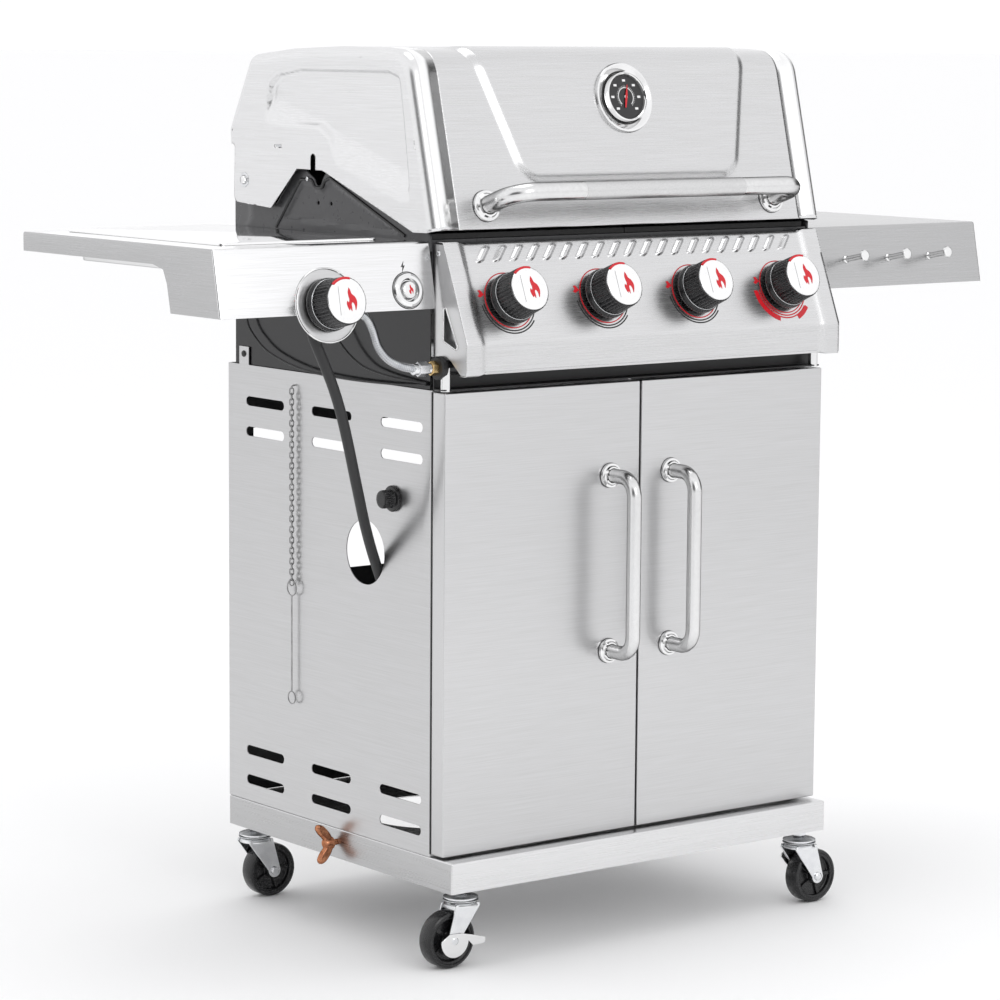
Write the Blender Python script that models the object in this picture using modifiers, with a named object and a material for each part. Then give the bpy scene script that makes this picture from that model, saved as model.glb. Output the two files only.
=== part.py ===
"""Four-burner cabinet gas barbecue grill with a side burner, built as separate sheet-metal and cast pieces.

Frame: metres, +Z up, -Y is the front with the doors and knobs, +X is the right shelf. Every piece is built
with y = 0 at the middle of the base tray. The last step moves the whole grill along Y, so that the origin
lies at the bottom centre of its bounding box.
"""

import math

import bmesh
import bpy
from mathutils import Matrix, Vector

GAP = 0.0003
SHEET = 0.0012
EDGE = 1e-4

# Base tray and cabinet
TRAY_X = 0.3254
TRAY_Y = 0.2604
TRAY_LOW = 0.105
TRAY_TOP = 0.146
TRAY_SHEET = 0.0015
TANK_HOLE = (-0.155, 0.0)
TANK_HOLE_R = 0.105
TANK_SCREW = (-0.002, 0.127)
TANK_SCREW_R = 0.0040
TANK_WING = (0.058, 0.011)
GUSSET = 0.078
GUSSET_SHEET = 0.003
PANEL_X = 0.3253
PANEL_FRONT = -0.211
PANEL_LOW = TRAY_TOP + GAP
PANEL_TOP = 0.7532
PANEL_FLANGE = 0.018
PANEL_TAB = (0.209, 0.232, 0.778)
WINDOW_LOW = (-0.285, 0.450)
WINDOW_HIGH = (0.285, 0.660)
SLOT_Y = (-0.147, 0.011, 0.169)
SLOT_Z = (0.704, 0.6625, 0.218, 0.1766)
SLOT_LENGTH = 0.092
SLOT_HEIGHT = 0.013
HOSE_HOLE = (-0.067, 0.528)
HOSE_HOLE_R = 0.043
BATTERY = (-0.130, 0.606)
BATTERY_R = 0.0125

# Doors
DOOR_X = 0.3241
DOOR_SEAM = 0.0015
DOOR_FRONT = -0.2388
DOOR_BACK = -0.2135
DOOR_LOW = 0.1493
DOOR_TOP = 0.7517
DOOR_AXIS = (0.316, -0.2285)
DOOR_HANDLE_X = 0.052
DOOR_HANDLE_Z = (0.394, 0.6285)
DOOR_HANDLE_Y = -0.290
DOOR_HANDLE_R = 0.0095
DOOR_HANDLE_BEND = 0.040

# Firebox
PLATE_OUT = 0.3225
PLATE_IN = 0.3210
TROUGH_X = 0.3205
TROUGH_FRONT = -0.2035
TROUGH_REAR = 0.2435
LEDGE_Z = 0.9445
BURNER_X = (-0.2335, -0.0785, 0.0785, 0.2335)
BURNER_Z = 0.872
BURNER_R = 0.0125
BURNER_FRONT = -0.2125
BURNER_LENGTH = 0.4425
THROAT_R = 0.0095
TENT_SECTION = ((-0.060, 0.893), (0.0, 0.9255), (0.060, 0.893))
TENT_ENDS = (-0.188, 0.228)
SPIT_HOLES = ((0.050, 0.981), (0.020, 0.981))
GRATE_X = (0.0006, 0.3165)
GRATE_Y = (-0.1995, 0.2395)
GRATE_THICK = 0.007
GRATE_BAR = 0.0065
RACK_LOW = (-0.290, 0.055, 1.050)
RACK_HIGH = (0.290, 0.195, 1.0545)
RACK_BAR = 0.004
RACK_COLUMNS = 30
RACK_LEG_R = 0.0022
GREASE_SHEET = 0.001

# Hood, closed
HOOD_X = 0.3322
HOOD_BAND_X = 0.2913
HOOD_SHEET = 0.0015
HINGE = (0.208, 1.006)
HOOD_FRONT_FOOT = (-0.2229, 0.9571)
HOOD_SLOPE = 0.25
HOOD_HANDLE_X = 0.2435
HOOD_HANDLE_Z = 0.986
HOOD_HANDLE_OUT = 0.064
HOOD_HANDLE_R = 0.012
HOOD_HANDLE_BEND = 0.045
HOOD_HANDLE_RISE = 18
GAUGE = (0.0055, 1.1205)

# Controls: the panel slopes from its top edge to the fold
PANEL_TOP_EDGE = (-0.2257, 0.9429)
PANEL_FOLD = (-0.2770, 0.8169)
PANEL_FOOT = 0.7748
CONTROL_X = 0.3195
KNOB_SLOPE_Z = 0.869
KNOB_HEIGHT = 0.044
KNOB_R = 0.0295
KNOB_SKIRT_R = 0.033
STEM_R = 0.004
STEM_HOLE_R = 0.0065
SIDE_KNOB = (-0.4915, 0.869)
IGNITER = (-0.3647, 0.8828)
MANIFOLD = (-0.222, 0.783)
MANIFOLD_R = 0.009

# Shelves
SHELF_OUT = 0.650
SHELF_IN = 0.3238
SHELF_TOP = 0.9427
SHELF_TOP_FRONT = -0.2015
SHELF_FACE_FOOT = (-0.2185, 0.8584)
SHELF_REAR = 0.2550
SHELF_SKIRT = 0.9174
BEZEL_R = 0.047
HOOK_X = (0.3914, 0.4720, 0.5515)
HOOK_Z = 0.897
BOWL_LOW = (-0.595, -0.130)
BOWL_HIGH = (-0.375, 0.200)
BOWL_FLOOR = 0.906
LID_LOW = (-0.605, -0.150)
LID_HIGH = (-0.365, 0.220)
LID_HEIGHT = 0.003
SIDE_BURNER_Y = 0.035
VENTURI_Z = 0.9170
SIDE_GRATE_LOW = (-0.5900, -0.1000, 0.9330)
SIDE_GRATE_HIGH = (-0.3800, 0.1700, 0.9380)

# Casters: x and y of each swivel axis, and the side to which its wheel trails
WHEEL_R = 0.0375
WHEEL_WIDTH = 0.024
TRAIL = 0.022
AXLE_R = 0.0035
LEVER_ANGLE_LEFT = -5
LEVER_ANGLE_RIGHT = 40
CASTERS = {
    "front_left": (-0.2835, -0.2240, -1),
    "front_right": (0.2985, -0.2380, 1),
    "rear_left": (-0.2975, 0.2363, 1),
    "rear_right": (0.2985, 0.2363, -1),
}

# Lighting chain and rod on the left side panel
CHAIN_X = -0.3315
CHAIN_Y = 0.0955
CHAIN_TOP = 0.731
CHAIN_RING = 0.465
ROD_LOW = 0.300

# Gas hose: from the side burner valve, through the side panel, down to the regulator
HOSE_R = 0.007
HOSE_ROUTE = [
    (-0.4915, -0.1850, 0.8440), (-0.4905, -0.1855, 0.8290), (-0.4830, -0.1860, 0.8120),
    (-0.4690, -0.1830, 0.7870), (-0.4530, -0.1770, 0.7600), (-0.4370, -0.1710, 0.7260),
    (-0.4230, -0.1650, 0.6900), (-0.4090, -0.1570, 0.6550), (-0.3930, -0.1460, 0.6200),
    (-0.3730, -0.1300, 0.5830), (-0.3500, -0.1120, 0.5460), (-0.3253, -0.0945, 0.5090),
    (-0.3040, -0.0830, 0.4720), (-0.2890, -0.0770, 0.4330), (-0.2820, -0.0750, 0.3930),
    (-0.2800, -0.0750, 0.3500),
]
REGULATOR_TOP = 0.3500

# Gas line from the manifold's end to the side burner's valve
LINE_R = 0.0052
LINE_ROUTE = [
    (-0.4880, -0.1850, 0.8620), (-0.4560, -0.1900, 0.8630), (-0.4330, -0.1950, 0.8590),
    (-0.4180, -0.1980, 0.8500), (-0.4090, -0.2000, 0.8330), (-0.4020, -0.2020, 0.8120),
    (-0.3900, -0.2070, 0.7960), (-0.3740, -0.2140, 0.7870), (-0.3580, -0.2200, 0.7835),
]
SIDE_VALVE_LOW = (-0.5035, -0.1980, 0.8445)
SIDE_VALVE_HIGH = (-0.4795, -0.1730, 0.8800)

PARTS = "gas_barbecue_grill"
CUTTERS = "cutters"
HALF_PI = math.pi / 2


def new_collection(name):
    collection = bpy.data.collections.new(name)
    bpy.context.scene.collection.children.link(collection)
    return collection


def material(name, colour, metallic, roughness):
    made = bpy.data.materials.new(name)
    made.use_nodes = True
    shader = made.node_tree.nodes["Principled BSDF"]
    shader.inputs["Base Color"].default_value = (*colour, 1.0)
    shader.inputs["Metallic"].default_value = metallic
    shader.inputs["Roughness"].default_value = roughness
    made.diffuse_color = (*colour, 1.0)
    return made


def place(obj, look, cutter=False):
    """Links an object: a part gets its own material, a cutter is kept out of renders."""
    collection = bpy.data.collections[CUTTERS if cutter else PARTS]
    collection.objects.link(obj)
    if cutter:
        obj.hide_render = True
        obj.display_type = "WIRE"
        return obj
    colour, metallic, roughness = LOOKS[look]
    obj.data.materials.append(material(obj.name, colour, metallic, roughness))
    return obj


def object_from(name, bm, look):
    """A mesh object from a bmesh. look is None for a cutter or for a shape that another piece takes in."""
    bmesh.ops.recalc_face_normals(bm, faces=bm.faces)
    mesh = bpy.data.meshes.new(name)
    bm.to_mesh(mesh)
    bm.free()
    return place(bpy.data.objects.new(name, mesh), look, cutter=look is None)


def box(name, low, high, look=None):
    bm = bmesh.new()
    bmesh.ops.create_cube(bm, size=1.0)
    size = Vector(high) - Vector(low)
    bmesh.ops.scale(bm, vec=size, verts=bm.verts)
    bmesh.ops.translate(bm, vec=(Vector(high) + Vector(low)) / 2, verts=bm.verts)
    return object_from(name, bm, look)


def cylinder(name, start, direction, length, radius, look=None, sides=24, end_radius=None):
    """A cylinder, or a cone when end_radius is given, from start along direction."""
    bm = bmesh.new()
    end_radius = radius if end_radius is None else end_radius
    bmesh.ops.create_cone(
        bm, cap_ends=True, segments=sides, radius1=radius, radius2=end_radius, depth=length
    )
    turn = Vector((0, 0, 1)).rotation_difference(Vector(direction)).to_matrix().to_4x4()
    middle = Vector(start) + Vector(direction).normalized() * length / 2
    bmesh.ops.transform(bm, matrix=Matrix.Translation(middle) @ turn, verts=bm.verts)
    obj = object_from(name, bm, look)
    shade_round(obj)
    return obj


def shade_round(obj):
    obj.data.shade_smooth()
    obj.data.set_sharp_from_angle(angle=math.radians(35))


AXES = {"x": lambda a, b, t: (t, a, b), "y": lambda a, b, t: (a, t, b), "z": lambda a, b, t: (a, b, t)}


def prism_mesh(outlines, axis, low, high):
    """A bmesh of flat outlines, each extruded from low to high along axis."""
    bm = bmesh.new()
    for outline in outlines:
        verts = [bm.verts.new(AXES[axis](a, b, low)) for a, b in outline]
        face = bm.faces.new(verts)
        grown = bmesh.ops.extrude_face_region(bm, geom=[face])
        moved = [item for item in grown["geom"] if isinstance(item, bmesh.types.BMVert)]
        bmesh.ops.translate(bm, vec=AXES[axis](0, 0, high - low), verts=moved)
    bmesh.ops.recalc_face_normals(bm, faces=bm.faces)
    return bm


def prism(name, outlines, axis, low, high, look=None):
    return object_from(name, prism_mesh(outlines, axis, low, high), look)


def shell(name, bm, keep, thickness, look, inward=True):
    """A sheet-metal piece: the faces that keep() accepts, thickened to one side."""
    bm.normal_update()
    dropped = [face for face in bm.faces if not keep(face.normal, face.calc_center_median())]
    bmesh.ops.delete(bm, geom=dropped, context="FACES")
    mesh = bpy.data.meshes.new(name)
    bm.to_mesh(mesh)
    bm.free()
    obj = place(bpy.data.objects.new(name, mesh), look, cutter=look is None)
    solid = obj.modifiers.new("thickness", "SOLIDIFY")
    solid.thickness = thickness
    solid.offset = -1 if inward else 1
    solid.use_even_offset = True
    return obj


def strip(name, profile, axis, low, high, thickness, look, side):
    """An open profile extruded along axis and thickened to one side, 1 or -1."""
    bm = bmesh.new()
    verts = [bm.verts.new(AXES[axis](a, b, low)) for a, b in profile]
    edges = [bm.edges.new(pair) for pair in zip(verts, verts[1:])]
    grown = bmesh.ops.extrude_edge_only(bm, edges=edges)
    moved = [item for item in grown["geom"] if isinstance(item, bmesh.types.BMVert)]
    bmesh.ops.translate(bm, vec=AXES[axis](0, 0, high - low), verts=moved)
    mesh = bpy.data.meshes.new(name)
    bm.to_mesh(mesh)
    bm.free()
    obj = place(bpy.data.objects.new(name, mesh), look, cutter=look is None)
    solid = obj.modifiers.new("thickness", "SOLIDIFY")
    solid.thickness = thickness
    solid.offset = side
    solid.use_even_offset = True
    return obj


def cut(obj, cutter):
    change = obj.modifiers.new("cut_" + cutter.name, "BOOLEAN")
    change.operation = "DIFFERENCE"
    change.object = cutter
    return obj


def join(obj, *others):
    for other in others:
        change = obj.modifiers.new("join_" + other.name, "BOOLEAN")
        change.operation = "UNION"
        change.object = other
    return obj


def circle(centre, radius, sides=24, start=0.0, turn=2 * math.pi):
    """Points on a circle. A part turn includes both of its ends."""
    full = abs(turn - 2 * math.pi) < 1e-9
    steps = sides if full else sides + 1
    angles = [start + turn * i / sides for i in range(steps)]
    return [(centre[0] + radius * math.cos(a), centre[1] + radius * math.sin(a)) for a in angles]


def stadium(centre, length, height, sides=5):
    """A slot outline with round ends, long along its first axis."""
    reach = (length - height) / 2
    right = circle((centre[0] + reach, centre[1]), height / 2, sides, -HALF_PI, math.pi)
    left = circle((centre[0] - reach, centre[1]), height / 2, sides, HALF_PI, math.pi)
    return right + left


def rectangle(low, high):
    return [(low[0], low[1]), (high[0], low[1]), (high[0], high[1]), (low[0], high[1])]


def rounded_path(points, radius, steps=5):
    """The polyline through points with its inner corners turned into arcs."""
    points = [Vector(p) for p in points]
    path = [points[0]]
    for before, corner, after in zip(points, points[1:], points[2:]):
        first = (before - corner).normalized()
        second = (after - corner).normalized()
        half = first.angle(second) / 2
        reach = radius / math.tan(half)
        centre = corner + (first + second).normalized() * radius / math.sin(half)
        start = corner + first * reach - centre
        end = corner + second * reach - centre
        path += [centre + start.slerp(end, i / steps).normalized() * radius for i in range(steps + 1)]
    return path + [points[-1]]


def smooth_path(points, pieces):
    """Catmull-Rom points through a route, so that a hose has no corners."""
    points = [Vector(p) for p in points]
    ends = [2 * points[0] - points[1]] + points + [2 * points[-1] - points[-2]]
    path = []
    for a, b, c, d in zip(ends, ends[1:], ends[2:], ends[3:]):
        for i in range(pieces):
            t = i / pieces
            square = 2 * a - 5 * b + 4 * c - d
            cube = 3 * b - a - 3 * c + d
            path.append(0.5 * (2 * b + (c - a) * t + square * t**2 + cube * t**3))
    return path + [points[-1]]


def tube(name, path, radius, look=None, resolution=2):
    """A round tube along a path, as a mesh with its caps welded on."""
    curve = bpy.data.curves.new(name + "_line", "CURVE")
    curve.dimensions = "3D"
    curve.bevel_depth = radius
    curve.bevel_resolution = resolution
    curve.use_fill_caps = True
    spline = curve.splines.new("POLY")
    spline.points.add(len(path) - 1)
    for point, place_at in zip(spline.points, path):
        point.co = (*place_at, 1.0)
    line = bpy.data.objects.new(name + "_line", curve)
    bpy.context.scene.collection.objects.link(line)
    bpy.context.view_layer.update()
    evaluated = line.evaluated_get(bpy.context.evaluated_depsgraph_get())
    mesh = bpy.data.meshes.new_from_object(evaluated)
    mesh.name = name
    bm = bmesh.new()
    bm.from_mesh(mesh)
    bmesh.ops.remove_doubles(bm, verts=bm.verts, dist=1e-6)
    bm.to_mesh(mesh)
    bm.free()
    mesh.materials.clear()
    obj = place(bpy.data.objects.new(name, mesh), look, cutter=look is None)
    obj.matrix_world = line.matrix_world
    bpy.data.objects.remove(line)
    shade_round(obj)
    return obj


def turned(name, profile, origin, direction, look=None, steps=24, closed=False):
    """A profile of (radius, height) points, top to bottom, turned about direction through origin."""
    bm = bmesh.new()
    verts = [bm.verts.new((radius, 0, height)) for radius, height in profile]
    loop = verts + verts[:1] if closed else verts
    for pair in zip(loop, loop[1:]):
        bm.edges.new(pair)
    mesh = bpy.data.meshes.new(name)
    bm.to_mesh(mesh)
    bm.free()
    obj = place(bpy.data.objects.new(name, mesh), look, cutter=look is None)
    screw = obj.modifiers.new("turn", "SCREW")
    screw.steps = steps
    screw.render_steps = steps
    screw.use_merge_vertices = True
    screw.merge_threshold = 1e-5
    screw.use_smooth_shade = True
    obj.location = origin
    obj.rotation_mode = "QUATERNION"
    obj.rotation_quaternion = Vector((0, 0, 1)).rotation_difference(Vector(direction))
    return obj


def set_origin(obj, point):
    """Moves the origin of a piece onto its joint axis and leaves the piece where it is."""
    obj.data.transform(Matrix.Translation(-Vector(point)))
    obj.location = point


def pivot(name, point, pieces):
    """An empty on a joint axis that carries the pieces which turn about it."""
    empty = bpy.data.objects.new(name, None)
    empty.empty_display_size = 0.03
    bpy.data.collections[PARTS].objects.link(empty)
    empty.location = point
    for piece in pieces:
        piece.parent = empty
        piece.matrix_parent_inverse = Matrix.Translation(-Vector(point))


# Colour, metallic and roughness of each look
LOOKS = {
    "stainless": ((0.62, 0.62, 0.63), 1.0, 0.32),
    "polished": ((0.80, 0.80, 0.81), 1.0, 0.12),
    "zinc": ((0.75, 0.76, 0.78), 1.0, 0.22),
    "enamel": ((0.045, 0.045, 0.048), 0.0, 0.35),
    "black_steel": ((0.02, 0.02, 0.02), 0.0, 0.45),
    "black_plastic": ((0.02, 0.02, 0.022), 0.0, 0.40),
    "cast_iron": ((0.03, 0.03, 0.03), 0.2, 0.60),
    "brass": ((0.75, 0.55, 0.25), 1.0, 0.25),
    "copper": ((0.62, 0.30, 0.17), 1.0, 0.30),
    "rubber": ((0.02, 0.02, 0.02), 0.0, 0.55),
    "galvanised": ((0.55, 0.56, 0.57), 1.0, 0.40),
}


def build_base_tray():
    bm = prism_mesh([rectangle((-TRAY_X, -TRAY_Y), (TRAY_X, TRAY_Y))], "z", TRAY_LOW, TRAY_TOP)
    tray = shell("base_tray", bm, lambda n, c: n.z > -0.5, TRAY_SHEET, "stainless")
    inset = TRAY_SHEET / 2
    foot = TRAY_LOW + 0.0005
    for sx, sy in ((-1, -1), (1, -1), (-1, 1), (1, 1)):
        corner = (sx * (TRAY_X - inset), sy * (TRAY_Y - inset))
        inner = (corner[0] - sx * GUSSET, corner[1] - sy * GUSSET)
        low = (min(corner[0], inner[0]), min(corner[1], inner[1]), foot)
        high = (max(corner[0], inner[0]), max(corner[1], inner[1]), foot + GUSSET_SHEET)
        join(tray, box(f"gusset_{sx}_{sy}", low, high))
    hole = cylinder("tank_hole", (*TANK_HOLE, TRAY_TOP - 0.02), (0, 0, 1), 0.04, TANK_HOLE_R, sides=32)
    cut(tray, hole)
    start = (-TRAY_X - 0.015, *TANK_SCREW)
    screw_hole = cylinder("tank_screw_hole", start, (1, 0, 0), 0.03, TANK_SCREW_R + 0.0005, sides=12)
    cut(tray, screw_hole)


def build_side_panel(name, sx):
    front, rear, top = PANEL_TAB
    tab = [(rear, PANEL_TOP), (rear, top), (front, top), (front, PANEL_TOP)]
    outline = [(PANEL_FRONT, PANEL_LOW), (TRAY_Y, PANEL_LOW), (TRAY_Y, PANEL_TOP)]
    outline += tab + [(PANEL_FRONT, PANEL_TOP)]
    outer, inner = sx * PANEL_X, sx * (PANEL_X - PANEL_FLANGE)
    bm = prism_mesh([outline], "x", inner, outer)

    def keep(normal, centre):
        on_edge = abs(centre.y - PANEL_FRONT) < EDGE or abs(centre.y - TRAY_Y) < EDGE
        return normal.x * sx > 0.9 or on_edge

    panel = shell(name, bm, keep, SHEET, "stainless")
    slots = [stadium((y, z), SLOT_LENGTH, SLOT_HEIGHT) for y in SLOT_Y for z in SLOT_Z]
    if sx < 0:
        slots.append(circle(HOSE_HOLE, HOSE_HOLE_R, 32))
        slots.append(circle(BATTERY, BATTERY_R + 0.0008, 16))
    reach = sorted((outer + sx * 0.01, inner + sx * 0.002))
    cut(panel, prism(name + "_slots", slots, "x", *reach))


def build_rear_panel():
    half = PANEL_X - 0.0018
    y_out = TRAY_Y - SHEET - GAP
    plate = [rectangle((-half, PANEL_LOW), (half, PANEL_TOP))]
    panel = prism("rear_panel", plate, "y", y_out - SHEET, y_out, "black_steel")
    window = [rectangle(WINDOW_LOW, WINDOW_HIGH)]
    cut(panel, prism("rear_window", window, "y", y_out - 0.01, y_out + 0.01))


def build_front_crossbar():
    profile = [(-0.2345, 0.7541), (-0.2110, 0.7541), (-0.2110, 0.7720)]
    strip("front_crossbar", profile, "x", -PLATE_OUT, PLATE_OUT, 0.0018, "black_steel", 1)


def build_door(name, sx):
    inner, outer = sorted((sx * DOOR_SEAM, sx * DOOR_X))
    bm = prism_mesh([rectangle((inner, DOOR_LOW), (outer, DOOR_TOP))], "y", DOOR_FRONT, DOOR_BACK)
    door = shell(name, bm, lambda n, c: n.y < 0.5, SHEET, "stainless")
    foot_y = DOOR_FRONT - GAP
    x = sx * DOOR_HANDLE_X
    low, high = DOOR_HANDLE_Z
    line = [(x, foot_y, low), (x, DOOR_HANDLE_Y, low), (x, DOOR_HANDLE_Y, high), (x, foot_y, high)]
    handle = tube(name + "_handle", rounded_path(line, DOOR_HANDLE_BEND), DOOR_HANDLE_R, "stainless")
    pivot(name + "_axis", (sx * DOOR_AXIS[0], DOOR_AXIS[1], DOOR_LOW), [door, handle])


def firebox_trough_profile():
    return [
        (-0.190, LEDGE_Z), (TROUGH_FRONT, LEDGE_Z), (TROUGH_FRONT, 0.852), (-0.030, 0.800),
        (0.030, 0.800), (TROUGH_REAR, 0.850), (TROUGH_REAR, LEDGE_Z), (0.230, LEDGE_Z),
    ]


def build_firebox():
    profile = firebox_trough_profile()
    trough = strip("firebox", profile, "x", -TROUGH_X, TROUGH_X, SHEET, "enamel", 1)
    slot = box("grease_slot", (-0.25, -0.018, 0.79), (0.25, 0.018, 0.81))
    cut(trough, slot)
    mouths = [circle((x, BURNER_Z), BURNER_R + 0.0012, 16) for x in BURNER_X]
    cut(trough, prism("burner_mouths", mouths, "y", TROUGH_FRONT - 0.01, TROUGH_FRONT + 0.01))


def firebox_plate_outline():
    """Side plate in y, z: front post, peak that carries the spit, rear ear with the hood hinge."""
    dip = circle((0.045, 1.0115), 0.008, 6, math.pi, math.pi)
    front = [(0.245, 0.7536), (0.245, 1.020), (0.190, 1.020), (0.178, 0.965), (0.140, 0.965)]
    peak = [(0.0845, 1.022)] + dip[::-1] + [(0.0200, 1.022)]
    return [(-0.205, 0.7536)] + front + peak + [(-0.160, 0.948), (-0.205, 0.948)]


def build_firebox_plate(name, sx):
    low, high = sorted((sx * PLATE_IN, sx * PLATE_OUT))
    plate = prism(name, [firebox_plate_outline()], "x", low, high, "enamel")
    holes = [circle(centre, 0.0025, 8) for centre in SPIT_HOLES]
    cut(plate, prism(name + "_holes", holes, "x", low - 0.01, high + 0.01))


def build_burners():
    for number, x in enumerate(BURNER_X, start=1):
        mouth = (x, BURNER_FRONT, BURNER_Z)
        burner = cylinder(f"burner_{number}", mouth, (0, 1, 0), BURNER_LENGTH, BURNER_R, "stainless", 12)
        start = (x, BURNER_FRONT - 0.0005, BURNER_Z)
        cut(burner, cylinder(f"throat_{number}", start, (0, 1, 0), 0.030, THROAT_R, None, 12))
        profile = [(x + a, b) for a, b in TENT_SECTION]
        strip(f"heat_tent_{number}", profile, "y", *TENT_ENDS, SHEET, "stainless", -1)


def slotted_plate(name, low, high, columns, rows, bar, look):
    """A flat grate: a plate with a grid of slots, which leaves its bars."""
    plate = box(name, low, high, look)
    width = (high[0] - low[0] - bar) / columns
    depth = (high[1] - low[1] - bar) / rows
    slots = []
    for column in range(columns):
        for row in range(rows):
            x = low[0] + bar + column * width
            y = low[1] + bar + row * depth
            slots.append(rectangle((x, y), (x + width - bar, y + depth - bar)))
    return cut(plate, prism(name + "_slots", slots, "z", low[2] - 0.005, high[2] + 0.005))


def build_grates():
    z = LEDGE_Z + GAP
    for name, sx in (("cooking_grate_left", -1), ("cooking_grate_right", 1)):
        left, right = sorted((sx * GRATE_X[0], sx * GRATE_X[1]))
        low, high = (left, GRATE_Y[0], z), (right, GRATE_Y[1], z + GRATE_THICK)
        slotted_plate(name, low, high, 15, 2, GRATE_BAR, "cast_iron")
    rack = slotted_plate("warming_rack", RACK_LOW, RACK_HIGH, RACK_COLUMNS, 1, RACK_BAR, "zinc")
    leg_foot = z + GRATE_THICK + GAP
    leg = RACK_LOW[2] + 0.002 - leg_foot
    for sx in (-1, 1):
        for y in (RACK_LOW[1] + 0.007, RACK_HIGH[1] - 0.007):
            foot = (sx * (RACK_HIGH[0] - 0.0025), y, leg_foot)
            join(rack, cylinder(f"rack_leg_{sx}_{y}", foot, (0, 0, 1), leg, RACK_LEG_R, None, 8))


def build_grease_parts():
    bm = prism_mesh([rectangle((-0.255, -0.170), (0.255, 0.250))], "z", 0.764, 0.786)
    tray = shell("grease_tray", bm, lambda n, c: n.z < 0.5, GREASE_SHEET, "galvanised")
    cut(tray, cylinder("drip_hole", (0, 0.030, 0.75), (0, 0, 1), 0.03, 0.012, sides=16))
    set_origin(tray, (0, 0.250, 0.764))
    bm = prism_mesh([rectangle((-0.055, -0.010), (0.055, 0.070))], "z", 0.715, 0.7630)
    cup = shell("grease_cup", bm, lambda n, c: n.z < 0.5, GREASE_SHEET, "galvanised")
    set_origin(cup, (0, -0.010, 0.715))


def hood_profile():
    """Front foot, front slope, the rounded front top, the roof and the rear wall, in y, z."""
    shoulder = [(-0.1770, 1.1400), (-0.1715, 1.1540), (-0.1610, 1.1670), (-0.1450, 1.1775), (-0.1220, 1.1845)]
    roof = [(-0.0900, 1.1868), (-0.0053, 1.1872), (0.1054, 1.1830), (0.1700, 1.1780)]
    rear = [(0.1860, 1.1755), (0.1972, 1.1690), (0.2060, 1.1560), (0.2518, 1.0751), (0.2496, 1.0532)]
    return [HOOD_FRONT_FOOT] + shoulder + roof + rear


def hood_side_outline():
    """End wall of the hood in y, z, with the notch that clears the spit holder."""
    rear_foot = [(0.2316, 1.0524), (0.2334, 0.9830), (0.2250, 0.9744), (0.1446, 0.9705)]
    notch = [(0.0831, 1.0251), (0.0510, 1.0249), (0.0510, 1.0430), (0.0390, 1.0430), (0.0390, 1.0247)]
    front_foot = [(0.0228, 1.0246), (-0.1798, 0.9530)]
    return hood_profile() + rear_foot + notch + front_foot


def build_hood_end(name, sx):
    outline = hood_side_outline()
    outer, inner = sx * HOOD_X, sx * (HOOD_BAND_X + 0.0004)
    bm = prism_mesh([outline], "x", inner, outer)
    band = hood_profile()
    middles = [((a[0] + b[0]) / 2, (a[1] + b[1]) / 2) for a, b in zip(band, band[1:])]

    def keep(normal, centre):
        in_band = any(abs(centre.y - y) < EDGE and abs(centre.z - z) < EDGE for y, z in middles)
        return normal.x * sx > 0.9 or in_band

    return shell(name, bm, keep, HOOD_SHEET, "stainless")


def panel_normal(top, foot):
    """Outward normal of a face that slopes from top to foot, both in y, z."""
    down = Vector((0, foot[0] - top[0], foot[1] - top[1])).normalized()
    return Vector((0, down.z, -down.y))


def hood_front_y(z):
    return HOOD_FRONT_FOOT[0] + HOOD_SLOPE * (z - HOOD_FRONT_FOOT[1])


def build_hood():
    profile = hood_profile()
    panel = strip("hood_panel", profile, "x", -HOOD_BAND_X, HOOD_BAND_X, HOOD_SHEET, "stainless", -1)
    left = build_hood_end("hood_end_left", -1)
    right = build_hood_end("hood_end_right", 1)
    # The handle's feet stand just off the sloping front, and its arms rise a little more than the normal
    foot = Vector((0, hood_front_y(HOOD_HANDLE_Z) - GAP - 0.0035, HOOD_HANDLE_Z))
    rise = math.radians(HOOD_HANDLE_RISE)
    arm = Vector((0, -math.cos(rise), math.sin(rise)))
    bar = foot + arm * HOOD_HANDLE_OUT
    side = Vector((HOOD_HANDLE_X, 0, 0))
    line = [foot - side, bar - side, bar + side, foot + side]
    handle = tube("hood_handle", rounded_path(line, HOOD_HANDLE_BEND), HOOD_HANDLE_R, "stainless", 3)
    normal = panel_normal((-0.177, 1.140), HOOD_FRONT_FOOT)
    face = Vector((GAUGE[0], hood_front_y(GAUGE[1]), GAUGE[1])) + normal * GAP
    profile = [
        (0.0, 0.009), (0.030, 0.009), (0.036, 0.007), (0.036, 0.004), (0.046, 0.003), (0.046, 0.0), (0.0, 0.0),
    ]
    gauge = turned("temperature_gauge", profile, face, normal, "polished")
    pivot("hood_axis", (0, *HINGE), [panel, left, right, handle, gauge])


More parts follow.
